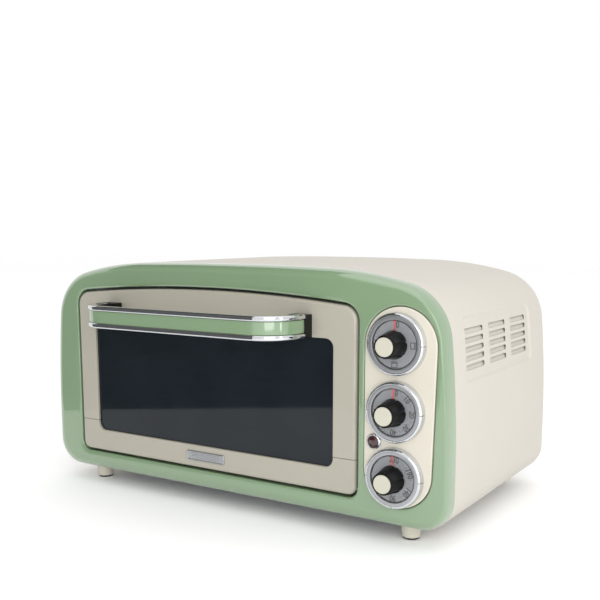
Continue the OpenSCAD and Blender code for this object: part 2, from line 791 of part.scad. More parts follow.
module control_screws() {
    color(STEEL) for (x = post_xs, z = post_zs)
        translate([x, bracket_y + bracket_sheet, z]) rotate([-90, 0, 0]) screw(8, 1.2, 2.4, 1.4);
}

// The threaded bushing that each control has, with its nut in front of the bracket
module bushing(z) {
    rod_y(dial_x, z, bushing_r, bushing_nose_y, bracket_y + bracket_sheet + 1);
    translate([dial_x, bracket_y, z]) rotate([90, 0, 0]) cylinder(r = 8, h = 2.2, $fn = 6);
}

// The bore that a dial's shaft turns in
module shaft_bore(z) {
    rod_y(dial_x, z, shaft_r + running_gap, bushing_nose_y - cut, shaft_end_y + 1);
}

module function_switch() {
    z = dial_zs[0];
    y = bracket_y + bracket_sheet;
    color("#C9B27A") difference() {
        union() {
            bushing(z);
            block([dial_x - 20, y, z - 18], [dial_x + 20, y + 32, z + 18]);
            for (i = [-1:1], s = [-1, 1]) block([dial_x + i * 12 - 3, y + 31, z + s * 9 - 0.4],
                [dial_x + i * 12 + 3, y + 41, z + s * 9 + 0.4]);
        }
        shaft_bore(z);
    }
}

module timer_body() {
    z = dial_zs[1];
    y = bracket_y + bracket_sheet;
    color(STEEL) difference() {
        union() {
            bushing(z);
            rod_y(dial_x, z, 25, y, y + 22);
            rod_y(dial_x, z, 21, y + 21, y + 38);
            for (s = [-1, 1]) block([dial_x + s * 8 - 3, y + 37, z - 0.4],
                [dial_x + s * 8 + 3, y + 46, z + 0.4]);
        }
        shaft_bore(z);
    }
}

module thermostat_body() {
    z = dial_zs[2];
    y = bracket_y + bracket_sheet;
    color(STEEL) difference() {
        union() {
            bushing(z);
            block([dial_x - 20, y, z - 18], [dial_x + 20, y + thermostat_d, z + 18]);
            for (s = [-1, 1]) block([dial_x + s * 9 - 3, y + thermostat_d - 1, z - 10.4],
                [dial_x + s * 9 + 3, y + thermostat_d + 8, z - 9.6]);
        }
        shaft_bore(z);
    }
}

module thermostat_bulb() {
    bulb_x = cavity_x1 - 10;
    body_back = bracket_y + bracket_sheet + thermostat_d;
    color("#B87333") union() {
        rod_y(bulb_x, bulb_z, 2.5, bulb_y, bulb_y + bulb_len);
        // Capillary tube out through the cavity's side, down and forward to the thermostat
        rod_x(bulb_y, bulb_z, capillary_r, bulb_x, capillary_x);
        translate([capillary_x, bulb_y, bulb_z]) sphere(capillary_r);
        translate([capillary_x, bulb_y, dial_zs[2]]) cylinder(r = capillary_r, h = bulb_z - dial_zs[2]);
        translate([capillary_x, bulb_y, dial_zs[2]]) sphere(capillary_r);
        rod_y(capillary_x, dial_zs[2], capillary_r, body_back, bulb_y);
    }
}

module terminal_block() {
    w = 12;
    d = 12;
    h = 18;
    x = gland_x + 30;
    color("#E8E4D8") difference() {
        for (i = [0:2]) block([x + i * (w - 1), back_y - d, gland_z - h / 2],
            [x + i * (w - 1) + w, back_y, gland_z + h / 2]);
        for (i = [0:2]) translate([x + i * (w - 1) + w / 2, back_y - d / 2, gland_z - h])
            cylinder(r = 2, h = 2 * h);
    }
}

module cord_gland() {
    color(BLACK) difference() {
        union() {
            rod_y(gland_x, gland_z, gland_r, back_y - 7, body_d + gland_out);
            rod_y(gland_x, gland_z, gland_r + 3, back_y + panel_sheet, back_y + panel_sheet + 4);
            rod_y(gland_x, gland_z, gland_r + 2, back_y - 7, back_y);
        }
        rod_y(gland_x, gland_z, gland_hole_r, back_y - 8, body_d + gland_out + cut);
    }
}

// ---- Door ----

module hinge_brackets() {
    color(STEEL) for (s = [0, 1]) {
        x = s == 0 ? door_x0 - hinge_pin_out : door_x1 + door_gap + flange_t;
        difference() {
            block([x, frame_wall + 0.4, hinge_z - 9], [x + bracket_t, flange_d, hinge_z + 12]);
            rod_x(hinge_y, hinge_z, hinge_pin_r + running_gap, x - cut, x + bracket_t + cut);
        }
    }
}

module door_hinge_pins() {
    color(STEEL) for (s = [0, 1]) {
        x0 = s == 0 ? door_x0 - hinge_pin_out : door_x1 - hinge_pin_in;
        rod_x(hinge_y, hinge_z, hinge_pin_r, x0, x0 + hinge_pin_out + hinge_pin_in);
    }
}

// The seat behind the door's skin that takes the glass and the inner frame
pocket_z0 = window_z0 - pocket_lap;
function pocket_outline(grow = 0) = let (o = door_outline(-skin_t + grow))
    [for (p = o) [p[0], max(p[1], pocket_z0 - grow)]];

// Where the screws through the inner frame go, outside the glass
door_screw_r = 1.5;
door_screw_out = 14.5;
inner_sheet = 1.2;
inner_gap = 0.3;
door_screw_spots = [for (x = [window_x0 - door_screw_out, window_x1 + door_screw_out],
    z = [window_z0, window_z0 + 46, window_z1 - 24]) [x, z]];

module door_skin() {
    difference() {
        union() {
            difference() {
                hull() {
                    for (t = [22.5:22.5:90]) {
                        y = skin_roll * (1 - sin(t));
                        slab(y, y + slice) polygon(door_outline(-skin_roll * (1 - cos(t))));
                    }
                    slab(skin_roll, door_t) polygon(door_outline());
                }
                slab(skin_t, door_t + cut) polygon(pocket_outline());
            }
            for (p = door_screw_spots)
                rod_y(p[0], p[1], 2 * door_screw_r, skin_t - 0.5, door_t - inner_gap - inner_sheet);
        }
        slab(-cut, door_t + cut) polygon(window_outline());
        for (p = door_screw_spots) rod_y(p[0], p[1], door_screw_r, skin_t + 3, door_t + cut);
    }
}

module door_frame() {
    color(DOOR_CREAM) difference() {
        door_skin();
        block([door_x0 - cut, -cut, door_z0 - cut], [door_x1 + cut, door_t + cut, seam_z]);
        for (x = handle_post_xs) rod_y(x, handle_z, handle_screw_r + 0.3, -cut, skin_t + cut);
    }
}

module door_bottom_rail() {
    color(DOOR_CREAM) difference() {
        door_skin();
        block([door_x0 - cut, -cut, seam_z - seam_gap], [door_x1 + cut, door_t + cut, door_z1 + cut]);
        for (x = [door_x0 - cut, door_x1 - hinge_pin_in])
            rod_x(hinge_y, hinge_z, hinge_pin_r, x, x + hinge_pin_in + cut);
    }
}

module door_glass() {
    color([0.06, 0.06, 0.07, 0.8]) slab(skin_t, skin_t + glass_t)
        polygon(round_rect(window_x0 - glass_lap, window_x1 + glass_lap,
            window_z0 - glass_lap, window_z1 + glass_top_lap, 6));
}

// A sheet-metal pan that holds the glass against the skin
module door_inner_frame() {
    glass_y = skin_t + glass_t;
    color(STEEL) difference() {
        slab(glass_y, door_t - inner_gap) polygon(pocket_outline(-inner_gap));
        difference() {
            slab(glass_y - cut, door_t - inner_gap - inner_sheet)
                polygon(pocket_outline(-inner_gap - inner_sheet));
            slab(glass_y - cut, door_t) polygon(window_outline(inner_sheet + 1));
        }
        slab(glass_y - cut, door_t) polygon(window_outline(1));
        for (p = door_screw_spots) rod_y(p[0], p[1], door_screw_r, door_t - 3, door_t);
        for (x = handle_post_xs) rod_y(x, handle_z, handle_screw_r + 3, door_t - 3, door_t);
    }
}

module door_screws() {
    color(STEEL) for (p = door_screw_spots)
        translate([p[0], door_t - inner_gap, p[1]]) rotate([-90, 0, 0]) screw(8, door_screw_r, 2.8, 1.2);
}

// The handle in plan: straight, with both ends bent back to the door
handle_z = window_z1 + handle_h / 2;
handle_x0 = door_mid - handle_len / 2;
handle_x1 = door_mid + handle_len / 2;
bracket_d = 11;
post_in = 13;
handle_post_xs = [handle_x0 + post_in, handle_x1 - post_in];
handle_screw_r = 2;

// Plan outline of everything inside the handle's front face, moved inwards
function bow(inset) = concat(
    [[handle_x0 + inset, cut]],
    [for (a = [0:7.5:90]) [handle_x0 + handle_bend_r - (handle_bend_r - inset) * cos(a),
        -handle_reach + handle_bend_r - (handle_bend_r - inset) * sin(a)]],
    [for (a = [90:-7.5:0]) [handle_x1 - handle_bend_r + (handle_bend_r - inset) * cos(a),
        -handle_reach + handle_bend_r - (handle_bend_r - inset) * sin(a)]],
    [[handle_x1 - inset, cut]]);

// A band of the bow between two insets, in front of the end blocks
module bow_band(inset, depth) {
    difference() {
        polygon(bow(inset));
        polygon(bow(inset + depth));
        translate([handle_x0 - cut, -bracket_d]) square([handle_len + 2 * cut, 3 * bracket_d]);
    }
}

module handle_strap() {
    inset = 1.2;
    color(GREEN) translate([0, 0, handle_z - handle_h / 2 + trim_h])
        linear_extrude(handle_h - 2 * trim_h) bow_band(inset, strap_t);
}

module handle_trims() {
    low = handle_z - handle_h / 2;
    color(CHROME) for (z = [low, handle_z + handle_h / 2 - trim_h])
        translate([0, 0, z]) linear_extrude(trim_h) bow_band(0, trim_d);
}

// Black end blocks: each fills the bend behind the strap and stands on the door
module handle_brackets() {
    h = handle_h - 2 * trim_h;
    foot_w = 26;
    nose = 26;
    color(BLACK) for (s = [0, 1]) {
        difference() {
            union() {
                // Foot on the door
                translate([0, 0, handle_z - handle_h / 2 + 0.3]) linear_extrude(handle_h - 1.2)
                    mirrored_about_door(s) translate([handle_x0, -bracket_d])
                        square([foot_w, bracket_d]);
                // Nose behind the strap, between the rails
                translate([0, 0, handle_z - h / 2]) linear_extrude(h)
                    mirrored_about_door(s) intersection() {
                        polygon(bow(1.2 + strap_t));
                        polygon([[handle_x0, -bracket_d + 1], [handle_x0 + foot_w, -bracket_d + 1],
                            [handle_x0 + foot_w + 12, -bracket_d - nose], [handle_x0, -bracket_d - nose]]);
                    }
            }
            rod_y(handle_post_xs[s], handle_z, handle_screw_r, -bracket_d - 4, cut);
        }
    }
}

module mirrored_about_door(s) {
    if (s == 0) children();
    else translate([2 * door_mid, 0]) mirror([1, 0]) children();
}

module handle_screws() {
    color(STEEL) for (x = handle_post_xs)
        translate([x, skin_t, handle_z]) rotate([-90, 0, 0]) screw(bracket_d + skin_t + 2, handle_screw_r);
}

module badge_plate() {
    w = 46;
    h = 9.6;
    z = door_z0 + 12;
    color(CHROME) slab(-1.2, 0)
        polygon(round_rect(door_mid - w / 2, door_mid + w / 2, z - h / 2, z + h / 2, 2));
}

// ---- Dial knobs ----

module knob_grip(z) {
    base_y = plate_y - pointer_gap - pointer_t;
    len = knob_reach + base_y;
    taper = atan2(knob_r - knob_tip_r, len);
    color(BLACK) difference() {
        union() {
            translate([dial_x, base_y, z]) rotate([90, 0, 0])
                cylinder(r1 = knob_r, r2 = knob_tip_r, h = len, $fn = 96);
            rod_y(dial_x, z, spigot_r, base_y - 0.5, base_y + pointer_t);
        }
        rod_y(dial_x, z, cap_r, -knob_reach - cut, -knob_reach + 1.2);
        rod_y(dial_x, z, shaft_r, shaft_tip_y, base_y + pointer_t + cut);
        for (i = [0:flutes - 1])
            translate([dial_x, base_y, z]) rotate([0, 15 + i * 360 / flutes, 0])
                translate([0, 0, knob_r + 0.5]) rotate([90 - taper, 0, 0])
                    translate([0, 0, -cut]) cylinder(r = 1.3, h = len + 3 * cut);
    }
}

module knob_cap(z) {
    color(CREAM) rod_y(dial_x, z, cap_r, -knob_reach - 0.3, -knob_reach + 1.2);
}

// Clear disc with the pointer line, carried by the knob
module knob_pointer(z) {
    y1 = plate_y - pointer_gap;
    color([0.9, 0.9, 0.9, 0.4]) difference() {
        rod_y(dial_x, z, pointer_r, y1 - pointer_t, y1);
        rod_y(dial_x, z, spigot_r, y1 - pointer_t - cut, y1 + cut);
    }
}

module knob_shaft(z) {
    color(STEEL) rod_y(dial_x, z, shaft_r, shaft_tip_y, shaft_end_y);
}

// Every piece is drawn about the front frame's face and moved to the common origin
module placed() {
    translate([0, -origin_y, 0]) children();
}

placed() front_frame();
placed() outer_shell();
placed() back_panel();
placed() bottom_panel();
placed() feet();
placed() foot_pads();
placed() foot_screws();
placed() back_screws();
placed() bottom_screws();
placed() oven_cavity();
placed() cavity_screws();
placed() heat_shield();
placed() hinge_brackets();
placed() control_panel();
placed() dial_rings();
placed() dial_plates();
placed() lamp_bezel();
placed() lamp_lens();
placed() lamp_holder();
placed() control_bracket();
placed() control_screws();
placed() function_switch();
placed() timer_body();
placed() thermostat_body();
placed() thermostat_bulb();
placed() upper_heaters();
placed() lower_heaters();
placed() heater_insulators();
placed() crumb_tray();
placed() terminal_block();
placed() cord_gland();
placed() wire_rack();
placed() baking_tray();
placed() door_frame();
placed() door_bottom_rail();
placed() door_glass();
placed() door_inner_frame();
placed() door_screws();
placed() door_hinge_pins();
placed() handle_strap();
placed() handle_trims();
placed() handle_brackets();
placed() handle_screws();
placed() badge_plate();
placed() knob_grip(dial_zs[0]);  // function_grip
placed() knob_cap(dial_zs[0]);  // function_cap
placed() knob_pointer(dial_zs[0]);  // function_pointer
placed() knob_shaft(dial_zs[0]);  // function_shaft
placed() knob_grip(dial_zs[1]);  // timer_grip
placed() knob_cap(dial_zs[1]);  // timer_cap
placed() knob_pointer(dial_zs[1]);  // timer_pointer
placed() knob_shaft(dial_zs[1]);  // timer_shaft
placed() knob_grip(dial_zs[2]);  // thermostat_grip
placed() knob_cap(dial_zs[2]);  // thermostat_cap
placed() knob_pointer(dial_zs[2]);  // thermostat_pointer
placed() knob_shaft(dial_zs[2]);  // thermostat_shaft
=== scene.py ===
import json
import math

import bmesh
import bpy
from mathutils import Matrix, Vector
from mathutils.geometry import delaunay_2d_cdt

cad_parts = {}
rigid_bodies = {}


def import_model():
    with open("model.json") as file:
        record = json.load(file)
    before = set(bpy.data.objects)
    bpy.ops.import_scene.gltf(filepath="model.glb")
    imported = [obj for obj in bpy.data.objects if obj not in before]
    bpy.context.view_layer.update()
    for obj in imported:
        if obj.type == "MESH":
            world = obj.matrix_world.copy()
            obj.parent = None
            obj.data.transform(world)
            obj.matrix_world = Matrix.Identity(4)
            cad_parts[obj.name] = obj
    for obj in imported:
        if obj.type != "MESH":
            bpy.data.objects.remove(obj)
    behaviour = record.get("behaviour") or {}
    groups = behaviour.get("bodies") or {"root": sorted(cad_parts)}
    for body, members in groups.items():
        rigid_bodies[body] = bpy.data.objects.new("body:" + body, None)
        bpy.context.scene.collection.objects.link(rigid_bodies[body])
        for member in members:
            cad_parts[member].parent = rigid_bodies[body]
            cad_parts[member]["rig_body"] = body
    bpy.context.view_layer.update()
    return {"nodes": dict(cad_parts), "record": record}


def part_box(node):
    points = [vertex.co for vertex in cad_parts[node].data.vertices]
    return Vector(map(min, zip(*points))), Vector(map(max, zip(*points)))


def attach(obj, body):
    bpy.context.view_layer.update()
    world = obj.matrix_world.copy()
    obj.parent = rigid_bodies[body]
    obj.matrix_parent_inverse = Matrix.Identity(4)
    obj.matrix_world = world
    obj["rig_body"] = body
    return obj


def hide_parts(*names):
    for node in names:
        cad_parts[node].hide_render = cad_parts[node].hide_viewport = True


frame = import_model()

# Toaster oven: the visible pieces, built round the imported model.
# Shapes are worked out in millimetres, with Y counted from the front frame's face to the rear.

MM = 0.001


def span(node):
    """Lowest and highest corner of a CAD node in millimetres, with Y from the front frame's face."""
    low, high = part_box(node)
    shift = Vector((0, FACE_Y, 0))
    return (low - shift) / MM, (high - shift) / MM


FACE_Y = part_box("front_frame")[0].y


def at(x, y, z):
    return Vector((x * MM, FACE_Y + y * MM, z * MM))


# ---- Sizes ----

# Body
HALF_W = span("outer_shell")[1].x
BODY_D = span("outer_shell")[1].y
BODY_H = 237.2
CLEARANCE = span("outer_shell")[0].z
FRAME_D = 18
SHELL_Y = span("outer_shell")[0].y
CROWN_A, SHOULDER_A, CORNER_A = 1.5, 13.7, 84.1     # where each arc of the outline ends, in degrees
TOP_CORNER_R, SHOULDER_R, LEAN_R, BOTTOM_R = 52.6, 372, 1090, 27
UPRIGHT_ZS = (60, 52)       # the side's upright stretch, between its lean and its bottom corner
ROLL_IN, ROLL_BACK = 6, 16
ROLL_LEFT, ROLL_TOP, ROLL_BOTTOM = 9, 3, 8      # what the roll takes besides ROLL_IN on each side
REAR_ROLL = 16
BACK_OPEN = 26
OPENING_X = 172
MIDDLE_Z = CLEARANCE + (BODY_H - CLEARANCE) / 2

# Door
DOOR_X0, DOOR_X1 = span("door_frame")[0].x, span("door_frame")[1].x
DOOR_MID = (DOOR_X0 + DOOR_X1) / 2
DOOR_HALF = (DOOR_X1 - DOOR_X0) / 2
DOOR_Z0 = span("door_bottom_rail")[0].z
DOOR_Z1 = BODY_H - 24.9
DOOR_T = 17
DOOR_RISE = 8.6
DOOR_CROWN_R = DOOR_HALF ** 2 / (2 * DOOR_RISE)
DOOR_TOP_R, DOOR_FOOT_R = 14, 8
DOOR_ROLL = 3
DOOR_GAP = 2.5
SEAM_Z = DOOR_Z0 + 32.5
SEAM_GAP = 0.4
WINDOW = (DOOR_X0 + 23, DOOR_X1 - 23, DOOR_Z0 + 22.3, DOOR_Z0 + 137.3)
WINDOW_R = 8

# Handle
HANDLE_X0, HANDLE_X1 = span("handle_trims")[0].x, span("handle_trims")[1].x
HANDLE_Z0, HANDLE_Z1 = span("handle_trims")[0].z, span("handle_trims")[1].z
HANDLE_REACH = -span("handle_trims")[0].y
HANDLE_BEND = 36
HANDLE_FOOT = 11
TRIM_H, TRIM_D = 4.75, 8
STRAP_INSET, STRAP_T = 1.2, 3

# Dials, in the order function, timer, thermostat
DIALS = ("function", "timer", "thermostat")
DIAL_X = (span("timer_cap")[0].x + span("timer_cap")[1].x) / 2
DIAL_ZS = [(span(d + "_cap")[0].z + span(d + "_cap")[1].z) / 2 for d in DIALS]
PANEL_Y = span("control_panel")[0].y
PANEL_LEFT = 153
PANEL_TOP_R, PANEL_LOW_R = 33, 31.6
PANEL_GAP = 0.6
RING_R, RING_BORE, RING_H = 26.6, 20.6, 7
PLATE_H = 5.5
POINTER_H = 6.9
POINTER_R = 20.3
KNOB_R, KNOB_TIP_R, KNOB_H = 12.1, 9.5, 25
CAP_R = 8
NUMERAL_R = 16.6
LAMP_X = (span("lamp_lens")[0].x + span("lamp_lens")[1].x) / 2
LAMP_Z = (span("lamp_lens")[0].z + span("lamp_lens")[1].z) / 2
LAMP_R, LENS_R = 7, 5

# Side vents
VENT_COLUMNS, VENT_ROWS = 3, 5
VENT_Y, VENT_Z = 48.5, 180.8
VENT_PITCH_Y, VENT_PITCH_Z = 56.5, 7.84
VENT_LEN, VENT_H = 43.2, 4.5
FIELD = (42, 216, 138.5, 196.5)      # the recess round the slots: nearest and farthest Y, then Z
FIELD_R = 9
FIELD_DEPTH = 1.9
FIELD_SLOPE = 3.5


# ---- Finishes ----

def srgb(code):
    """A colour code such as #8FA983 as linear values."""
    parts = [int(code[i:i + 2], 16) / 255 for i in (1, 3, 5)]
    return tuple(c / 12.92 if c <= 0.04045 else ((c + 0.055) / 1.055) ** 2.4 for c in parts) + (1,)


class Value:
    """A shader socket that takes part in sums, so that maths reads as an expression."""

    def __init__(self, finish, socket):
        self.finish = finish
        self.socket = socket

    def maths(self, operation, first, second):
        return self.finish.node("ShaderNodeMath", {"operation": operation}, {0: first, 1: second})

    def __add__(self, other):
        return self.maths("ADD", self, other)

    def __radd__(self, other):
        return self.maths("ADD", other, self)

    def __mul__(self, other):
        return self.maths("MULTIPLY", self, other)

    def __rmul__(self, other):
        return self.maths("MULTIPLY", other, self)


class Finish:
    """A material on one Principled shader, with its nodes made one at a time."""

    def __init__(self, name, **constants):
        self.material = bpy.data.materials.new(name)
        self.material.use_nodes = True
        self.tree = self.material.node_tree
        self.shader = self.tree.nodes["Principled BSDF"]
        for socket, value in constants.items():
            self.shader.inputs[socket.replace("_", " ")].default_value = value

    def node(self, kind, settings=None, inputs=None, output=0):
        made = self.tree.nodes.new(kind)
        for key, value in (settings or {}).items():
            if key == "stops":
                self.set_stops(made.color_ramp, value)
            else:
                setattr(made, key, value)
        for key, value in (inputs or {}).items():
            self.feed(made.inputs[key], value)
        return Value(self, made.outputs[output])

    def set_stops(self, ramp, stops):
        while len(ramp.elements) < len(stops):
            ramp.elements.new(0.5)
        for element, (place, colour) in zip(ramp.elements, stops):
            element.position = place
            element.color = colour

    def feed(self, socket, value):
        if isinstance(value, Value):
            self.tree.links.new(value.socket, socket)
        else:
            socket.default_value = value

    def set(self, socket, value):
        self.feed(self.shader.inputs[socket], value)

    def place(self, scale=(1, 1, 1)):
        """Object coordinates, stretched by a scale."""
        coordinates = self.node("ShaderNodeTexCoord", output="Object")
        return self.node("ShaderNodeMapping", inputs={"Vector": coordinates, "Scale": scale})

    def noise(self, scale, detail=2.0, stretch=(1, 1, 1), roughness=0.5):
        """A noise of scale features a metre, from 0 to 1."""
        return self.node("ShaderNodeTexNoise", inputs={
            "Vector": self.place(stretch), "Scale": scale, "Detail": detail, "Roughness": roughness})

    def mix(self, share, first, second):
        """Two colours mixed by a share."""
        return self.node("ShaderNodeMix", {"data_type": "RGBA"}, {0: share, 6: first, 7: second}, output=2)

    def bump(self, height, strength, distance=0.0002):
        self.set("Normal", self.node("ShaderNodeBump", inputs={
            "Height": height, "Strength": strength, "Distance": distance}))


def paint(name, colour, roughness, coat, grain, grain_strength, shade=0.93, **constants):
    """Paint or a moulding: a slightly uneven tone, uneven gloss and fine orange peel."""
    base = srgb(colour)
    dark = tuple(c * shade for c in base[:3]) + (1,)
    f = Finish(name, Coat_Weight=coat, Coat_Roughness=0.04, **constants)
    f.set("Base Color", f.mix(f.noise(9, 3), dark, base))
    f.set("Roughness", roughness + 0.08 * f.noise(60, 4))
    f.bump(f.noise(grain, 3), grain_strength)
    return f.material


def metal(name, colour, roughness, stretch=(1, 1, 1), streaks=900, strength=0.05, spread=0.12):
    """Bare or plated metal with fine marks along one direction."""
    base = srgb(colour)
    dark = tuple(c * 0.86 for c in base[:3]) + (1,)
    f = Finish(name, Metallic=1.0)
    marks = f.noise(streaks, 4, stretch)
    f.set("Base Color", f.mix(marks, dark, base))
    f.set("Roughness", roughness + spread * marks)
    f.bump(marks, strength, 0.0001)
    return f.material


def spun_metal(name, colour, x, z):
    """A grey dial face, brushed in circles round its centre."""
    base = srgb(colour)
    dark = tuple(c * 0.8 for c in base[:3]) + (1,)
    f = Finish(name, Metallic=0.15, Specular_IOR_Level=0.4)
    coordinates = f.node("ShaderNodeTexCoord", output="Object")
    centred = f.node("ShaderNodeMapping", inputs={"Vector": coordinates, "Location": (-x * MM, 0, -z * MM)})
    flat = f.node("ShaderNodeVectorMath", {"operation": "MULTIPLY"}, {0: centred, 1: (1, 0, 1)})
    radius = f.node("ShaderNodeVectorMath", {"operation": "LENGTH"}, {0: flat}, output="Value")
    rings = f.node("ShaderNodeCombineXYZ", inputs={0: radius * 2600})
    grooves = f.node("ShaderNodeTexNoise", inputs={"Vector": rings, "Scale": 1.0, "Detail": 3.0})
    f.set("Base Color", f.mix(grooves, dark, base))
    f.set("Roughness", 0.38 + 0.16 * grooves)
    f.bump(grooves, 0.06, 0.0001)
    return f.material


def tinted_glass():
    """Smoked door glass: nearly black, with a faint view inside and a little haze."""
    f = Finish("smoked_glass", Specular_IOR_Level=0.35, IOR=1.5)
    haze = f.noise(25, 4)
    f.set("Base Color", f.mix(haze, srgb("#12181D"), srgb("#1C2329")))
    f.set("Roughness", 0.03 + 0.03 * haze)
    f.set("Alpha", 0.86 + 0.06 * haze)
    return f.material


def clear_acrylic():
    f = Finish("clear_acrylic", Base_Color=(1, 1, 1, 1), IOR=1.49)
    scuffs = f.noise(900, 4)
    f.set("Roughness", 0.05 + 0.08 * scuffs)
    f.set("Alpha", 0.025 + 0.025 * scuffs)
    return f.material


def lamp_glass():
    """Dark red moulded lens with a faint inner texture."""
    f = Finish("lamp_red", Coat_Weight=1.0, Coat_Roughness=0.02)
    cells = f.node("ShaderNodeTexVoronoi", {"feature": "F1"}, {"Vector": f.place(), "Scale": 900.0})
    f.set("Base Color", f.mix(cells, srgb("#4A0C12"), srgb("#140305")))
    f.set("Roughness", 0.12 + 0.1 * cells)
    f.bump(cells, 0.15, 0.0002)
    return f.material


def ink(name, colour):
    """Printed marking, a little worn; the same finish gives the dial rings' black marks, which are painted
    groove shade.
    """
    f = Finish(name)
    wear = f.noise(1800, 3)
    base = srgb(colour)
    f.set("Base Color", f.mix(wear, base, tuple(min(1, c * 1.5 + 0.01) for c in base[:3]) + (1,)))
    f.set("Roughness", 0.45 + 0.15 * wear)
    return f.material


def speckled(name, colour, fleck, roughness):
    """Vitreous enamel with fine flecks."""
    f = Finish(name, Coat_Weight=0.6, Coat_Roughness=0.1)
    flecks = f.node("ShaderNodeTexVoronoi", {"feature": "F1"}, {"Vector": f.place(), "Scale": 320.0})
    spots = f.node("ShaderNodeValToRGB", {"stops": [(0.0, (1, 1, 1, 1)), (0.22, (0, 0, 0, 1))]}, {0: flecks})
    f.set("Base Color", f.mix(spots, srgb(colour), srgb(fleck)))
    f.set("Roughness", roughness + 0.1 * f.noise(40, 3))
    f.bump(f.noise(500, 3), 0.06)
    return f.material


FINISHES = {
    "green_enamel": paint("green_enamel", "#768F6E", 0.3, 1.0, 420, 0.012, 0.97, Coat_IOR=1.7),
    "cream_paint": paint("cream_paint", "#C2BDB3", 0.45, 0.0, 1500, 0.05, 0.97),
    "cream_moulding": paint("cream_moulding", "#C6C1B3", 0.35, 0.4, 900, 0.03, 0.97),
    "cap_cream": paint("cap_cream", "#B8B5A6", 0.35, 0.3, 900, 0.03, 0.97),
    "door_paint": paint("door_paint", "#A29E91", 0.4, 0.35, 1300, 0.04, 0.97),
    "galvanised": metal("galvanised", "#A9ABAD", 0.32, (1, 1, 1), 140, 0.12, 0.2),
    "zinc_steel": metal("zinc_steel", "#A5A6A8", 0.25, (1, 1, 0.1), 700),
    "chrome": metal("chrome", "#D9DBDF", 0.045, (1, 1, 1), 300, 0.004, 0.03),
    "satin_chrome": metal("satin_chrome", "#B4B6B9", 0.3, (1, 1, 1), 900, 0.02, 0.08),
    "black_plastic": paint("black_phenolic", "#080809", 0.3, 0.0, 1200, 0.04, 0.8, Specular_IOR_Level=0.2),
    "dark_glass": tinted_glass(),
    "clear_plastic": clear_acrylic(),
    "red_lens": lamp_glass(),
    "rubber": paint("rubber", "#1B1B1B", 0.75, 0.0, 1500, 0.15, 0.7),
    "ceramic": paint("steatite", "#E6E1D2", 0.3, 0.4, 800, 0.05),
    "heater_sheath": metal("heater_sheath", "#5A5450", 0.42, (0.2, 1, 1), 500, 0.12),
    "black_enamel": speckled("black_enamel", "#0D0D0E", "#3A3C3F", 0.22),
    "switch_body": paint("switch_body", "#B39A62", 0.5, 0.0, 900, 0.06),
    "copper": metal("copper", "#B26E48", 0.25, (0.2, 1, 1), 600),
    "marking": ink("dial_marking", "#080703"),
    "pointer_red": ink("pointer_red", "#C8232B"),
    # painted shade: black bars on the dial rings stand in for the shade inside their grooves
    "painted_groove_shade": ink("painted_groove_shade", "#0B0B0C"),
}


# ---- Mesh helpers ----

def link_mesh(name, mesh, body, slot, finish=None, replaces=()):
    """Makes a piece of a mesh that is in place, with normals that keep flat faces flat."""
    draft = draft_object(name, mesh)
    flat = draft.modifiers.new("flat_faces", "WEIGHTED_NORMAL")
    flat.keep_sharp = True
    mesh = evaluated(draft)
    piece = bpy.data.objects.new(name, mesh)
    bpy.context.scene.collection.objects.link(piece)
    mesh.materials.clear()
    mesh.materials.append(FINISHES[finish or slot])
    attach(piece, body)
    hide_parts(*replaces)
    return piece


def evaluated(draft):
    """The mesh that an object's modifiers make; the draft object is removed."""
    bpy.context.view_layer.update()
    result = bpy.data.meshes.new_from_object(draft.evaluated_get(bpy.context.evaluated_depsgraph_get()))
    bpy.data.objects.remove(draft)
    return result


def draft_object(name, mesh):
    draft = bpy.data.objects.new(name + "_draft", mesh)
    bpy.context.scene.collection.objects.link(draft)
    return draft


def smooth(mesh, angle=35):
    mesh.shade_smooth()
    mesh.set_sharp_from_angle(angle=math.radians(angle))


def enclosed(outline, point):
    """Whether a point lies inside a closed outline."""
    inside = False
    for a, b in zip(outline, outline[1:] + outline[:1]):
        if (a.y > point.y) != (b.y > point.y):
            if point.x < a.x + (b.x - a.x) * (point.y - a.y) / (b.y - a.y):
                inside = not inside
    return inside


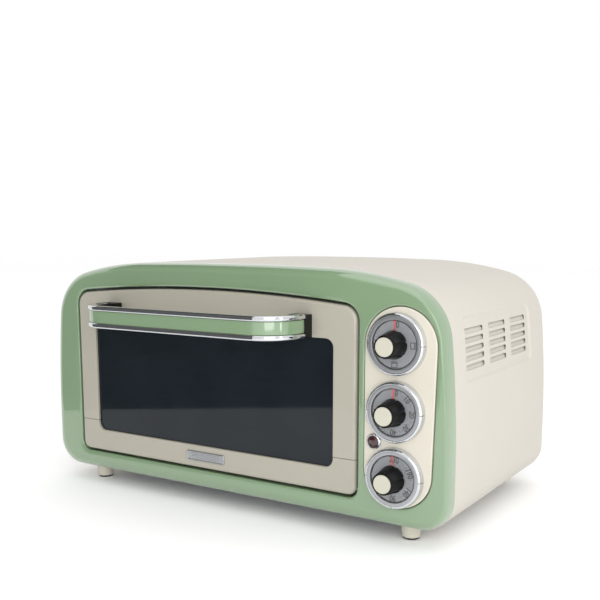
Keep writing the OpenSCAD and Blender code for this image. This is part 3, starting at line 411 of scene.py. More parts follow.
class Sheet:
    """A surface drawn ring by ring, which may get its thickness at the end."""

    def __init__(self):
        self.bm = bmesh.new()

    def ring(self, points):
        return [self.bm.verts.new(at(*p)) for p in points]

    def bridge(self, first, second, closed=True, skip=()):
        count = len(first) if closed else len(first) - 1
        for i in range(count):
            if i not in skip:
                j = (i + 1) % len(first)
                self.bm.faces.new((first[i], first[j], second[j], second[i]))

    def bridge_all(self, rings, closed=True):
        for first, second in zip(rings, rings[1:]):
            self.bridge(first, second, closed)

    def cap(self, ring):
        self.bm.faces.new(ring)

    def fill(self, *loops):
        """Fills a nearly flat area between an outer loop and the loops of its holes."""
        corners = [v for loop in loops for v in loop]
        spans = [max(v.co[i] for v in corners) - min(v.co[i] for v in corners) for i in range(3)]
        across, up = [i for i in range(3) if spans[i] > min(spans)]
        edges, outlines = [], []
        for loop in loops:
            start = len(edges)
            edges += [(start + i, start + (i + 1) % len(loop)) for i in range(len(loop))]
            outlines.append([Vector((v.co[across], v.co[up])) for v in loop])
        inside_only = 1
        result = delaunay_2d_cdt(sum(outlines, []), edges, [], inside_only, 1e-7)
        sources = [corners[ids[0]] for ids in result[3]]
        for face in result[2]:
            middle = sum((result[0][i] for i in face), Vector((0, 0))) / len(face)
            if not any(enclosed(outline, middle) for outline in outlines[1:]):
                self.bm.faces.new([sources[i] for i in face])

    def mesh(self, name, centre=None, wall=0, bevel=0, angle=35):
        """The finished mesh: faces outwards from centre, then a wall and small edge bevels."""
        bm = self.bm
        bmesh.ops.remove_doubles(bm, verts=bm.verts, dist=1e-6)
        bmesh.ops.dissolve_degenerate(bm, dist=1e-7, edges=bm.edges)
        bmesh.ops.recalc_face_normals(bm, faces=bm.faces)
        if centre is not None:
            c = at(*centre)
            outward = sum(f.calc_area() * f.normal.dot(f.calc_center_median() - c) for f in bm.faces)
            if outward < 0:
                bmesh.ops.reverse_faces(bm, faces=bm.faces)
        mesh = bpy.data.meshes.new(name)
        bm.to_mesh(mesh)
        bm.free()
        if wall or bevel:
            draft = draft_object(name, mesh)
            if wall:
                solidify = draft.modifiers.new("wall", "SOLIDIFY")
                solidify.thickness = wall * MM
                solidify.offset = -1
            if bevel:
                add_bevel(draft, bevel)
            mesh = evaluated(draft)
        smooth(mesh, angle)
        return mesh


def add_bevel(draft, width, segments=2):
    bevel = draft.modifiers.new("edges", "BEVEL")
    bevel.width = width * MM
    bevel.segments = segments
    bevel.limit_method = "ANGLE"
    bevel.angle_limit = math.radians(40)
    bevel.use_clamp_overlap = True


def arc(centre, r, start, end, count):
    """Points of an arc about centre, with angles from straight up, clockwise."""
    points = []
    for i in range(count + 1):
        a = math.radians(start + (end - start) * i / count)
        points.append((centre[0] + r * math.sin(a), centre[1] + r * math.cos(a)))
    return points


def both_sides(points, mid=0.0):
    return points + [(2 * mid - x, z) for x, z in reversed(points)]


def rounded(x0, x1, z0, z1, r, count=8):
    """A rectangle with rounded corners."""
    return (arc((x1 - r, z1 - r), r, 0, 90, count) + arc((x1 - r, z0 + r), r, 90, 180, count)
            + arc((x0 + r, z0 + r), r, 180, 270, count) + arc((x0 + r, z1 - r), r, 270, 360, count))


def turned(name, profile, x, z, steps=96, radius_at=None, angle=35):
    """A solid turned about an axis towards the front: profile points are (radius, height)."""
    sheet = Sheet()
    rings = []
    for r, h in profile:
        ring = []
        for i in range(steps):
            a = 2 * math.pi * i / steps
            rr = radius_at(a, r, h) if radius_at and r > 0 else r
            ring.append((x + rr * math.sin(a), -h, z + rr * math.cos(a)))
        rings.append(ring)
    made = [sheet.ring(ring) for ring in rings]
    sheet.bridge_all(made)
    if profile[0][0] > 0 and profile[-1][0] > 0:
        sheet.bridge(made[-1], made[0])
    return sheet.mesh(name, angle=angle)


def finished_copy(node, bevel=0.25, slot=None, finish=None, name=None, angle=30, shape=None):
    """A CAD node's own shape with its doubles merged and its edges broken; shape may move its corners."""
    bm = bmesh.new()
    bm.from_mesh(frame["nodes"][node].data)
    bmesh.ops.remove_doubles(bm, verts=bm.verts, dist=2e-6)
    bmesh.ops.dissolve_limit(bm, angle_limit=math.radians(0.5), verts=bm.verts, edges=bm.edges)
    if shape:
        for v in bm.verts:
            v.co = shape(v.co)
    mesh = bpy.data.meshes.new(node)
    bm.to_mesh(mesh)
    bm.free()
    if bevel:
        draft = draft_object(node, mesh)
        add_bevel(draft, bevel)
        mesh = evaluated(draft)
    smooth(mesh, angle)
    slot = slot or SLOT_OF[node]
    return link_mesh(name or node + "_finished", mesh, BODY_OF[node], slot, finish, [node])


def parts_of(node):
    """Lowest and highest corner of each separate solid of a CAD node, in millimetres."""
    bm = bmesh.new()
    bm.from_mesh(frame["nodes"][node].data)
    bmesh.ops.remove_doubles(bm, verts=bm.verts, dist=2e-6)
    left = set(bm.verts)
    found = []
    while left:
        stack = [left.pop()]
        island = list(stack)
        while stack:
            for edge in stack.pop().link_edges:
                for v in edge.verts:
                    if v in left:
                        left.remove(v)
                        stack.append(v)
                        island.append(v)
        low = [min(v.co[i] for v in island) for i in range(3)]
        high = [max(v.co[i] for v in island) for i in range(3)]
        low[1] -= FACE_Y
        high[1] -= FACE_Y
        found.append((Vector(low) / MM, Vector(high) / MM))
    bm.free()
    return sorted(found, key=lambda b: tuple(round(c, 2) for c in b[0]))


# ---- Geometry Nodes ----

def new_tree(name, inputs):
    """An empty Geometry Nodes tree with named inputs and one geometry output."""
    tree = bpy.data.node_groups.new(name, "GeometryNodeTree")
    for label, kind in inputs:
        tree.interface.new_socket(name=label, in_out="INPUT", socket_type=kind)
    tree.interface.new_socket(name="Geometry", in_out="OUTPUT", socket_type="NodeSocketGeometry")
    return tree, tree.nodes.new("NodeGroupInput").outputs, tree.nodes.new("NodeGroupOutput").inputs


def add_node(tree, kind, links, settings=None):
    made = tree.nodes.new(kind)
    for key, value in (settings or {}).items():
        setattr(made, key, value)
    for key, value in links.items():
        if isinstance(value, bpy.types.NodeSocket):
            tree.links.new(value, made.inputs[key])
        else:
            made.inputs[key].default_value = value
    return made


def close_tree(tree, result, material, output):
    """Instances made real, with their material: the export drops what isn't."""
    real = add_node(tree, "GeometryNodeRealizeInstances", {0: result})
    painted = add_node(tree, "GeometryNodeSetMaterial", {"Geometry": real.outputs[0], "Material": material})
    tree.links.new(painted.outputs[0], output[0])
    return tree


def array_tree():
    """An item repeated in columns and rows."""
    tree, given, output = new_tree("array_of_items", [
        ("Item", "NodeSocketObject"), ("Columns", "NodeSocketInt"), ("Rows", "NodeSocketInt"),
        ("Column Step", "NodeSocketVector"), ("Row Step", "NodeSocketVector"),
        ("Material", "NodeSocketMaterial")])
    item = add_node(tree, "GeometryNodeObjectInfo", {"Object": given["Item"]})
    row = add_node(tree, "GeometryNodeMeshLine", {"Count": given["Columns"], "Offset": given["Column Step"]})
    column = add_node(tree, "GeometryNodeMeshLine", {"Count": given["Rows"], "Offset": given["Row Step"]})
    rows = add_node(tree, "GeometryNodeInstanceOnPoints",
                    {"Points": column.outputs[0], "Instance": row.outputs[0]})
    points = add_node(tree, "GeometryNodeRealizeInstances", {0: rows.outputs[0]})
    items = add_node(tree, "GeometryNodeInstanceOnPoints",
                     {"Points": points.outputs[0], "Instance": item.outputs["Geometry"]})
    return close_tree(tree, items.outputs[0], given["Material"], output)


def circle_tree():
    """An item repeated at equal angles about the axis through its own origin, towards the front."""
    tree, given, output = new_tree("items_round_a_dial", [
        ("Item", "NodeSocketObject"), ("Count", "NodeSocketInt"), ("First Angle", "NodeSocketFloat"),
        ("Step Angle", "NodeSocketFloat"), ("Centre", "NodeSocketVector"),
        ("Material", "NodeSocketMaterial")])
    item = add_node(tree, "GeometryNodeObjectInfo", {"Object": given["Item"]})
    points = add_node(tree, "GeometryNodeMeshLine",
                      {"Count": given["Count"], "Start Location": given["Centre"], "Offset": (0, 0, 0)})
    index = add_node(tree, "GeometryNodeInputIndex", {})
    steps = add_node(tree, "ShaderNodeMath", {0: index.outputs[0], 1: given["Step Angle"]},
                     {"operation": "MULTIPLY"})
    turn = add_node(tree, "ShaderNodeMath", {0: steps.outputs[0], 1: given["First Angle"]},
                    {"operation": "ADD"})
    rotation = add_node(tree, "ShaderNodeCombineXYZ", {"Y": turn.outputs[0]})
    items = add_node(tree, "GeometryNodeInstanceOnPoints", {
        "Points": points.outputs[0], "Instance": item.outputs["Geometry"], "Rotation": rotation.outputs[0]})
    return close_tree(tree, items.outputs[0], given["Material"], output)


def spots_tree():
    """An item set on each vertex of the mesh that the tree is given, all turned the same way."""
    tree, given, output = new_tree("items_on_spots", [
        ("Geometry", "NodeSocketGeometry"), ("Item", "NodeSocketObject"), ("Turn", "NodeSocketVector"),
        ("Material", "NodeSocketMaterial")])
    item = add_node(tree, "GeometryNodeObjectInfo", {"Object": given["Item"]})
    items = add_node(tree, "GeometryNodeInstanceOnPoints", {
        "Points": given["Geometry"], "Instance": item.outputs["Geometry"], "Rotation": given["Turn"]})
    return close_tree(tree, items.outputs[0], given["Material"], output)


def run_tree(name, tree, item_mesh, values, finish, spots=()):
    """Runs a tree once and returns its result as a plain mesh."""
    item = draft_object(name + "_item", item_mesh)
    host_mesh = bpy.data.meshes.new(name)
    host_mesh.from_pydata([tuple(p) for p in spots], [], [])
    host = draft_object(name, host_mesh)
    modifier = host.modifiers.new("nodes", "NODES")
    modifier.node_group = tree
    values = dict(values, Item=item, Material=FINISHES[finish])
    for socket in tree.interface.items_tree:
        if socket.in_out == "INPUT" and socket.name in values:
            modifier[socket.identifier] = values[socket.name]
    mesh = evaluated(host)
    bpy.data.objects.remove(item)
    smooth(mesh, 35)
    return mesh


ARRAY = array_tree()
CIRCLE = circle_tree()
SPOTS = spots_tree()

SLOT_OF = {s["node"]: s["material_slot"] for s in frame["record"]["subparts"]}
BODY_OF = {n: o["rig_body"] for n, o in frame["nodes"].items()}


# ---- Outlines ----

def body_outline(inset=0.0):
    """The body's outline seen from the front, moved inwards."""
    sin, cos = (lambda a: math.sin(math.radians(a))), (lambda a: math.cos(math.radians(a)))
    crown_r = (HALF_W - SHOULDER_R * (sin(SHOULDER_A) - sin(CROWN_A))
               - TOP_CORNER_R * (sin(CORNER_A) - sin(SHOULDER_A))
               - LEAN_R * (1 - sin(CORNER_A))) / sin(CROWN_A)
    crown = (0, BODY_H - crown_r)
    shoulder = (crown[0] + (crown_r - SHOULDER_R) * sin(CROWN_A),
                crown[1] + (crown_r - SHOULDER_R) * cos(CROWN_A))
    corner = (shoulder[0] + (SHOULDER_R - TOP_CORNER_R) * sin(SHOULDER_A),
              shoulder[1] + (SHOULDER_R - TOP_CORNER_R) * cos(SHOULDER_A))
    lean = (corner[0] + (TOP_CORNER_R - LEAN_R) * sin(CORNER_A),
            corner[1] + (TOP_CORNER_R - LEAN_R) * cos(CORNER_A))
    foot = (HALF_W - BOTTOM_R, CLEARANCE + BOTTOM_R)
    points = arc(crown, crown_r - inset, CROWN_A / 3, CROWN_A, 3)
    points += arc(shoulder, SHOULDER_R - inset, CROWN_A + 0.6, SHOULDER_A, 20)
    points += arc(corner, TOP_CORNER_R - inset, SHOULDER_A + 2, CORNER_A, 34)
    points += arc(lean, LEAN_R - inset, CORNER_A + 0.2, 90, 28)
    points += [(HALF_W - inset, z) for z in UPRIGHT_ZS]
    points += arc(foot, BOTTOM_R - inset, 90, 180, 22)
    points.append((OPENING_X, CLEARANCE + inset))
    return both_sides(points)


def eased(value):
    """0 below 0, 1 above 1, and a soft step between them."""
    t = min(1, max(0, value))
    return t * t * (3 - 2 * t)


def rolled_outline(inset, share):
    """The front frame's outline at a share of its rounded edge, 0 at the rim and 1 at the face.

    The edge is narrower on the right, where the control panel comes close to it.
    """
    narrowing, narrow_from, narrow_over = 0.6, 150, 60
    points = []
    for (rim_x, rim_z), (x, z) in zip(body_outline(), body_outline(inset)):
        narrow = narrowing * eased((rim_x - narrow_from) / narrow_over)
        x, z = x + (rim_x - x) * narrow, z + (rim_z - z) * narrow
        roll = ROLL_TOP if z > MIDDLE_Z else ROLL_BOTTOM
        points.append((x * (1 - share * ROLL_LEFT / HALF_W) if x < 0 else x,
                       MIDDLE_Z + (z - MIDDLE_Z) * (1 - share * roll / (BODY_H - MIDDLE_Z))))
    return points


def door_outline(grow=0.0):
    crown = (DOOR_MID, DOOR_Z1 - DOOR_CROWN_R)
    corner_z = crown[1] + math.sqrt((DOOR_CROWN_R - DOOR_TOP_R) ** 2 - (DOOR_HALF - DOOR_TOP_R) ** 2)
    corner_a = math.degrees(math.atan2(DOOR_HALF - DOOR_TOP_R, corner_z - crown[1]))
    points = arc(crown, DOOR_CROWN_R + grow, 0.4, corner_a, 14)
    points += arc((DOOR_X1 - DOOR_TOP_R, corner_z), DOOR_TOP_R + grow, corner_a + 5, 90, 14)
    points += arc((DOOR_X1 - DOOR_FOOT_R, DOOR_Z0 + DOOR_FOOT_R), DOOR_FOOT_R + grow, 90, 180, 10)
    return both_sides(points, DOOR_MID)


def window_outline(grow=0.0):
    x0, x1, z0, z1 = WINDOW
    return rounded(x0 - grow, x1 + grow, z0 - grow, z1 + grow, WINDOW_R + grow)


def panel_outline(grow=0.0):
    """The control panel's outline, round at both ends."""
    lean = math.degrees(math.atan2(2 * (PANEL_TOP_R - PANEL_LOW_R), DIAL_ZS[0] - DIAL_ZS[2]))
    return (arc((PANEL_LEFT + PANEL_TOP_R, DIAL_ZS[0] - 2), PANEL_TOP_R + grow, -90, 90 + lean, 44)
            + arc((PANEL_LEFT + PANEL_LOW_R, DIAL_ZS[2] + 5), PANEL_LOW_R + grow, 90 + lean, 270, 40))


def lift(outline, y):
    return [(x, y, z) for x, z in outline]


def quarter(steps):
    """Angles in radians from 0 to a right angle."""
    return [math.pi / 2 * i / steps for i in range(steps + 1)]


# ---- Body ----

def build_front_frame():
    """Rolled frame with softly rounded edges into the door and panel openings.

    The door opening's edge is narrower towards the control panel than elsewhere.
    """
    wall = 2.2
    panel_edge, panel_dip = 1.8, 1.26
    door_edge, door_edge_wide = 2.6, 6
    door_dip, extra_dip = 1.2, 0.6
    narrow_from, narrow_over = DOOR_X1 - 4, 30
    sheet = Sheet()
    outer = [sheet.ring(lift(body_outline(), FRAME_D))]
    for a in quarter(14):
        share = 1 - math.cos(a)
        outline = rolled_outline(ROLL_IN * share, share)
        outer.append(sheet.ring(lift(outline, ROLL_BACK * (1 - math.sin(a)))))
    sheet.bridge_all(outer)
    door = []
    for a in quarter(8):
        narrow = door_outline(DOOR_GAP + door_edge * (1 - math.sin(a)))
        wide = door_outline(DOOR_GAP + door_edge_wide * (1 - math.sin(a)))
        ring = []
        for (nx, nz), (wx, wz) in zip(narrow, wide):
            share = eased((narrow_from - nx) / narrow_over)
            dip = (door_dip + extra_dip * share) * (1 - math.cos(a))
            ring.append((nx + (wx - nx) * share, dip, nz + (wz - nz) * share))
        door.append(sheet.ring(ring))
    door.append(sheet.ring(lift(door_outline(DOOR_GAP), DOOR_T + 2)))
    sheet.bridge_all(door)
    panel = []
    for a in quarter(6):
        edge = panel_outline(PANEL_GAP + panel_edge * (1 - math.sin(a)))
        panel.append(sheet.ring(lift(edge, panel_dip * (1 - math.cos(a)))))
    panel.append(sheet.ring(lift(panel_outline(PANEL_GAP), 3.5)))
    sheet.bridge_all(panel)
    sheet.fill(outer[-1], door[0], panel[0])
    mesh = sheet.mesh("front_frame_rolled", centre=(0, 300, 120), wall=wall)
    link_mesh("front_frame_rolled", mesh, "cabinet", "green_enamel", replaces=["front_frame"])


def side_x(z):
    """How far the body's side stands out at a height, above its upright lower part."""
    near = [p for p in body_outline() if p[0] > 0]
    for (xa, za), (xb, zb) in zip(near, near[1:]):
        if zb <= z <= za:
            return xb + (xa - xb) * (z - zb) / max(za - zb, 1e-6)
    return HALF_W


def vent_field(sheet, side, boundary):
    """Recessed field in a side wall with its slots, inside a boundary loop of the wall."""
    y0, y1, z0, z1 = FIELD
    steps, lip_width = 8, 0.4
    loops = []
    for i in range(steps + 1):
        t = i / steps
        shrink = FIELD_SLOPE * t
        depth = FIELD_DEPTH * eased(t)
        outline = rounded(y0 + shrink, y1 - shrink, z0 + shrink, z1 - shrink, FIELD_R - shrink, 8)
        loops.append(sheet.ring([(side * (side_x(z) - depth), y, z) for y, z in outline]))
    sheet.fill(boundary, loops[0])
    sheet.bridge_all(loops)
    slots = []
    for i in range(VENT_COLUMNS):
        for j in range(VENT_ROWS):
            a, b = VENT_Y + i * VENT_PITCH_Y, VENT_Z - j * VENT_PITCH_Z
            outline = rounded(a, a + VENT_LEN, b, b + VENT_H, VENT_H / 2 - 0.1, 5)
            edge = rounded(a - lip_width, a + VENT_LEN + lip_width, b - lip_width,
                           b + VENT_H + lip_width, VENT_H / 2 - 0.1 + lip_width, 5)
            lip = sheet.ring([(side * (side_x(z) - FIELD_DEPTH), y, z) for y, z in edge])
            slot = sheet.ring([(side * (side_x(z) - FIELD_DEPTH - lip_width), y, z) for y, z in outline])
            sheet.bridge(lip, slot)
            slots.append(lip)
    sheet.fill(loops[-1], *slots)


def build_outer_shell():
    """Painted shell with a rolled rear edge and a recessed vent field in each side."""
    sheet = Sheet()
    outline = body_outline()
    count = len(outline)
    half = count // 2
    # The side's stretch of the outline that the vent field replaces, on the right and on the left
    right = [i for i, (x, z) in enumerate(outline[:half])
             if x > HALF_W - 12 and FIELD[2] - 30 < z < FIELD[3] + 12]
    first, last = right[0], right[-1]
    field_ys = (FIELD[0] - 4, FIELD[1] + 4)
    ys = [SHELL_Y, SHELL_Y + 0.6, field_ys[0], field_ys[1], BODY_D - REAR_ROLL]
    rings = [sheet.ring(lift(body_outline(0.5), ys[0]))]
    rings += [sheet.ring(lift(outline, y)) for y in ys[1:]]
    for a in quarter(10)[1:]:
        inset = REAR_ROLL * (1 - math.cos(a))
        rings.append(sheet.ring(lift(body_outline(inset), BODY_D - REAR_ROLL * (1 - math.sin(a)))))
    rings.append(sheet.ring(lift(body_outline(BACK_OPEN), BODY_D)))
    underside = [half - 1]
    field_faces = list(range(first, last)) + [count - 1 - i - 1 for i in range(first, last)]
    for k, (a, b) in enumerate(zip(rings, rings[1:])):
        skip = set()
        if k < 4:
            skip.update(underside)
        if k == 2:
            skip.update(field_faces)
        sheet.bridge(a, b, skip=skip)
    low, high = rings[2], rings[3]
    for side in (1, -1):
        picks = list(range(first, last + 1)) if side > 0 else [count - 1 - i for i in range(first, last + 1)]
        boundary = [low[i] for i in picks] + [high[i] for i in reversed(picks)]
        vent_field(sheet, side, boundary)
    mesh = sheet.mesh("outer_shell_pressed", centre=(0, 140, 120), wall=1.1, angle=40)
    link_mesh("outer_shell_pressed", mesh, "cabinet", "cream_paint", replaces=["outer_shell"])


def louvre_blade(side):
    """A blade that slopes inwards from the lower edge of its slot."""
    steps = 6
    thickness, past_slot = 0.9, 5.8
    set_back, slope, below = 1.15, 2.9, -0.9
    sheet = Sheet()
    rings = []
    for y in (-past_slot, VENT_LEN + past_slot):
        ring = []
        for shift in (0, thickness):
            row = []
            for i in range(steps + 1):
                s = i / steps
                row.append((-side * (set_back + shift + slope * s ** 1.4), y, below + (VENT_H + 1.6) * s))
            ring += row if shift == 0 else row[::-1]
        rings.append(sheet.ring([(x, yy - FACE_Y / MM, z) for x, yy, z in ring]))
    sheet.bridge_all(rings)
    for ring in rings:
        sheet.cap(ring)
    return sheet.mesh("louvre_blade")


def build_louvres():
    for side, label in ((1, "right"), (-1, "left")):
        x = side * (side_x(VENT_Z - 14) - FIELD_DEPTH)
        lean = side * (side_x(VENT_Z) - side_x(VENT_Z - 31)) / 4
        mesh = run_tree("louvres", ARRAY, louvre_blade(side), {
            "Columns": VENT_COLUMNS, "Rows": VENT_ROWS,
            "Column Step": (0, VENT_PITCH_Y * MM, 0),
            "Row Step": (-lean * MM, 0, -VENT_PITCH_Z * MM)}, "cream_paint")
        mesh.transform(Matrix.Translation(at(x + 2 * lean, VENT_Y, VENT_Z)))
        link_mesh("louvres_" + label, mesh, "cabinet", "cream_paint")


def build_feet():
    """Tapered feet on rubber pads, one turned shape set at four spots."""
    parts = parts_of("feet")
    low, high = parts[0]
    bottom, top = low.z, high.z
    pad = span("foot_pads")[1].z
    foot = turned("foot", [(0, bottom), (7.3, bottom), (7.9, bottom + 0.2), (8.15, bottom + 0.8),
                           (9.45, top - 0.4), (9.3, top), (0, top)], 0, 0, 64)
    rubber = turned("pad", [(0, 0), (6.9, 0), (7.4, 0.25), (7.5, pad), (0, pad)], 0, 0, 48)
    upright = Matrix.Rotation(math.radians(-90), 4, "X") @ Matrix.Translation((0, -FACE_Y, 0))
    spots = [at((a.x + b.x) / 2, (a.y + b.y) / 2, 0) for a, b in parts]
    for mesh, name, slot, node in ((foot, "feet_turned", "cream_moulding", "feet"),
                                   (rubber, "foot_pads_turned", "rubber", "foot_pads")):
        mesh.transform(upright)
        whole = run_tree(name, SPOTS, mesh, {"Turn": (0, 0, 0)}, slot, spots)
        link_mesh(name, whole, "cabinet", slot, replaces=[node])


def screw_mesh(r, h):
    """A pan head with a cross recess, its seat at the origin and its top upwards."""
    profile = [(0, -0.3), (r * 0.98, -0.3), (r, 0.0), (r, h * 0.35), (r * 0.93, h * 0.7),
               (r * 0.75, h * 0.92), (r * 0.5, h), (0, h)]
    head = turned("head", profile, 0, 0, 40)
    head.transform(Matrix.Rotation(math.radians(-90), 4, "X") @ Matrix.Translation((0, -FACE_Y, 0)))
    head.transform(Matrix.Rotation(math.radians(180), 4, "X") if head.vertices[0].co.z > 0.001 else Matrix())
    cutter = bmesh.new()
    for turn in (0, 90):
        made = bmesh.ops.create_cube(cutter, size=1)["verts"]
        bmesh.ops.scale(cutter, vec=(r * 1.15 * MM, r * 0.26 * MM, h * MM), verts=made)
        bmesh.ops.translate(cutter, vec=(0, 0, h * 1.02 * MM), verts=made)
        quarter_turn = Matrix.Rotation(math.radians(turn), 3, "Z")
        bmesh.ops.rotate(cutter, cent=(0, 0, 0), matrix=quarter_turn, verts=made)
    tool_mesh = bpy.data.meshes.new("cross")
    cutter.to_mesh(tool_mesh)
    cutter.free()
    tool = draft_object("cross", tool_mesh)
    draft = draft_object("screw", head)
    cut = draft.modifiers.new("recess", "BOOLEAN")
    cut.object = tool
    cut.operation = "DIFFERENCE"
    cut.solver = "EXACT"
    cut.use_self = True
    mesh = evaluated(draft)
    bpy.data.objects.remove(tool)
    return mesh


def build_screws(node, turn, seat, r=3.5, h=1.8):
    """The heads of a node's screws; seat picks each head's seat from its box."""
    spots = [at(*seat(a, b)) for a, b in parts_of(node)]
    mesh = run_tree(node, SPOTS, screw_mesh(r, h), {"Turn": [math.radians(a) for a in turn]},
                    "zinc_steel", spots)
    link_mesh(node + "_heads", mesh, BODY_OF[node], "zinc_steel", replaces=[node])


# ---- Door ----

def door_sheet():
    """The door's pressed skin with its window, as a bare surface."""
    sheet = Sheet()
    outer = [sheet.ring(lift(door_outline(), DOOR_T))]
    for a in quarter(8):
        outer.append(sheet.ring(lift(door_outline(-DOOR_ROLL * (1 - math.cos(a))),
                                     DOOR_ROLL * (1 - math.sin(a)))))
    sheet.bridge_all(outer)
    window = []
    for a in quarter(5):
        window.append(sheet.ring(lift(window_outline(0.9 * (1 - math.sin(a))), 0.9 * (1 - math.cos(a)))))
    window.append(sheet.ring(lift(window_outline(), 2.95)))
    sheet.bridge_all(window)
    sheet.fill(outer[-1], window[0])
    return sheet


def build_door_skin():
    for name, node, keep_above in (("door_frame_pressed", "door_frame", True),
                                   ("door_rail_pressed", "door_bottom_rail", False)):
        sheet = door_sheet()
        height = SEAM_Z if keep_above else SEAM_Z - SEAM_GAP
        everything = sheet.bm.verts[:] + sheet.bm.edges[:] + sheet.bm.faces[:]
        bmesh.ops.bisect_plane(sheet.bm, geom=everything, dist=1e-7, plane_co=at(0, 0, height),
                               plane_no=(0, 0, 1), clear_inner=keep_above, clear_outer=not keep_above)
        mesh = sheet.mesh(name, centre=(DOOR_MID, 60, 110), wall=2.0, bevel=0.2)
        link_mesh(name, mesh, "door", "cream_moulding", "door_paint", [node])


def bow_point(station, inset):
    """A point of the handle's plan at a station, moved inwards; stations run from end to end."""
    kind, angle = station
    turn = math.radians(angle)
    if kind == "left":
        x = HANDLE_X0 + HANDLE_BEND - (HANDLE_BEND - inset) * math.cos(turn)
    else:
        x = HANDLE_X1 - HANDLE_BEND + (HANDLE_BEND - inset) * math.cos(turn)
    y = -HANDLE_REACH + HANDLE_BEND - (HANDLE_BEND - inset) * math.sin(turn)
    return x, y


def bow_sweep(name, section):
    """A section of (inset, height) carried round the handle's plan."""
    sheet = Sheet()
    rings = []
    start = [(HANDLE_X0 + inset, -HANDLE_FOOT, z) for inset, z in section]
    rings.append(sheet.ring(start))
    stations = [("left", a) for a in range(0, 91, 5)] + [("right", a) for a in range(90, -1, -5)]
    for station in stations:
        ring = []
        for inset, z in section:
            x, y = bow_point(station, inset)
            ring.append((x, y, z))
        rings.append(sheet.ring(ring))
    rings.append(sheet.ring([(HANDLE_X1 - inset, -HANDLE_FOOT, z) for inset, z in section]))
    sheet.bridge_all(rings)
    sheet.cap(rings[0])
    sheet.cap(rings[-1])
    return sheet.mesh(name)


def build_handle():
    """Painted strap between two chrome rails with rounded faces."""
    z0, z1 = HANDLE_Z0 + TRIM_H, HANDLE_Z1 - TRIM_H
    strap = rounded(STRAP_INSET, STRAP_INSET + STRAP_T, z0 + 0.12, z1 - 0.12, 0.7, 4)
    link_mesh("handle_strap_painted", bow_sweep("strap", strap), "door", "green_enamel",
              replaces=["handle_strap"])
    sheet_meshes = []
    for low in (HANDLE_Z0, HANDLE_Z1 - TRIM_H):
        rail = rounded(0.02, TRIM_D, low, low + TRIM_H, 1.7, 7)
        sheet_meshes.append(bow_sweep("rail", rail))
    link_mesh("handle_rails_chromed", joined("rails", sheet_meshes), "door", "chrome",
              replaces=["handle_trims"])
    low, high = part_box("handle_brackets")
    middle, narrower = (low.x + high.x) / 2, 0.66
    under_bend = 20 * MM    # this much of each block lies against the strap's bend and stays

    def shorten(corner):
        """Moves a corner on a block's inner side towards the handle's end."""
        end = low.x if corner.x < middle else high.x
        if abs(corner.x - end) < under_bend:
            return corner
        return Vector((end + (corner.x - end) * narrower, corner.y, corner.z))

    finished_copy("handle_brackets", 1.0, finish="black_plastic", name="handle_blocks", shape=shorten)


def joined(name, meshes):
    """Several meshes as one."""
    bm = bmesh.new()
    for mesh in meshes:
        bm.from_mesh(mesh)
    whole = bpy.data.meshes.new(name)
    bm.to_mesh(whole)
    bm.free()
    smooth(whole, 35)
    return whole


def build_badge():
    """Blank plate with a raised rim and plain ribs in place of a name."""
    low, high = span("badge_plate")
    z = (low.z + high.z) / 2
    x0, x1, z0, z1 = low.x, high.x, low.z, high.z
    sheet = Sheet()
    rings = []
    for grow, y in ((0, 0), (0, -0.8), (-0.25, -1.1), (-0.6, -1.2), (-1.0, -1.1), (-1.3, -0.75)):
        edge = rounded(x0 - grow, x1 + grow, z0 - grow, z1 + grow, 2 + grow, 5)
        rings.append(sheet.ring(lift(edge, y)))
    sheet.bridge_all(rings)
    sheet.cap(rings[-1])
    sheet.cap(rings[0])
    mesh = sheet.mesh("badge", centre=(DOOR_MID, 1, z))
    link_mesh("badge_plate_blank", mesh, "door", "chrome", "satin_chrome", ["badge_plate"])
    rib = Sheet()
    half_length, half_height, pitch = 17.5, 0.3, 1.5
    section = rounded(-half_length, half_length, -half_height, half_height, 0.29, 4)
    rings = [rib.ring([(x, y - FACE_Y / MM, zz) for x, zz in section]) for y in (0, -0.25)]
    rings.append(rib.ring([(x * 0.99, -0.38 - FACE_Y / MM, zz * 0.5) for x, zz in section]))
    rib.bridge_all(rings)
    rib.cap(rings[-1])
    rib.cap(rings[0])
    ribs = run_tree("badge_ribs", ARRAY, rib.mesh("rib"), {
        "Columns": 1, "Rows": 4, "Column Step": (0, 0, 0), "Row Step": (0, 0, -pitch * MM)}, "chrome")
    ribs.transform(Matrix.Translation(at(DOOR_MID, -0.75, z + 1.5 * pitch)))
    link_mesh("badge_ribs", ribs, "door", "chrome")


# ---- Controls ----

def build_control_panel():
    sheet = Sheet()
    r = 1.0
    rings = [sheet.ring(lift(panel_outline(), 3))]
    for a in quarter(6):
        edge = panel_outline(-r * (1 - math.cos(a)))
        rings.append(sheet.ring(lift(edge, PANEL_Y + r * (1 - math.sin(a)))))
    sheet.bridge_all(rings)
    sheet.cap(rings[-1])
    sheet.cap(rings[0])
    mesh = sheet.mesh("control_panel_moulded")
    link_mesh("control_panel_moulded", mesh, "cabinet", "cream_moulding", replaces=["control_panel"])


def ring_wall_profile():
    """Polished rounded wall of a dial ring."""
    base = -PANEL_Y
    r = 1.9
    shoulder = []
    for a in quarter(10):
        shoulder.append((RING_R - 0.45 - r + r * math.cos(a), RING_H - r + r * math.sin(a)))
    return ([(RING_R - 5, base), (RING_R, base), (RING_R, base + 1.0), (RING_R - 0.2, base + 1.5)] + shoulder
            + [(RING_R - 2.7, RING_H - 0.06), (RING_R - 2.8, RING_H - 0.4), (RING_R - 5, RING_H - 0.4)])


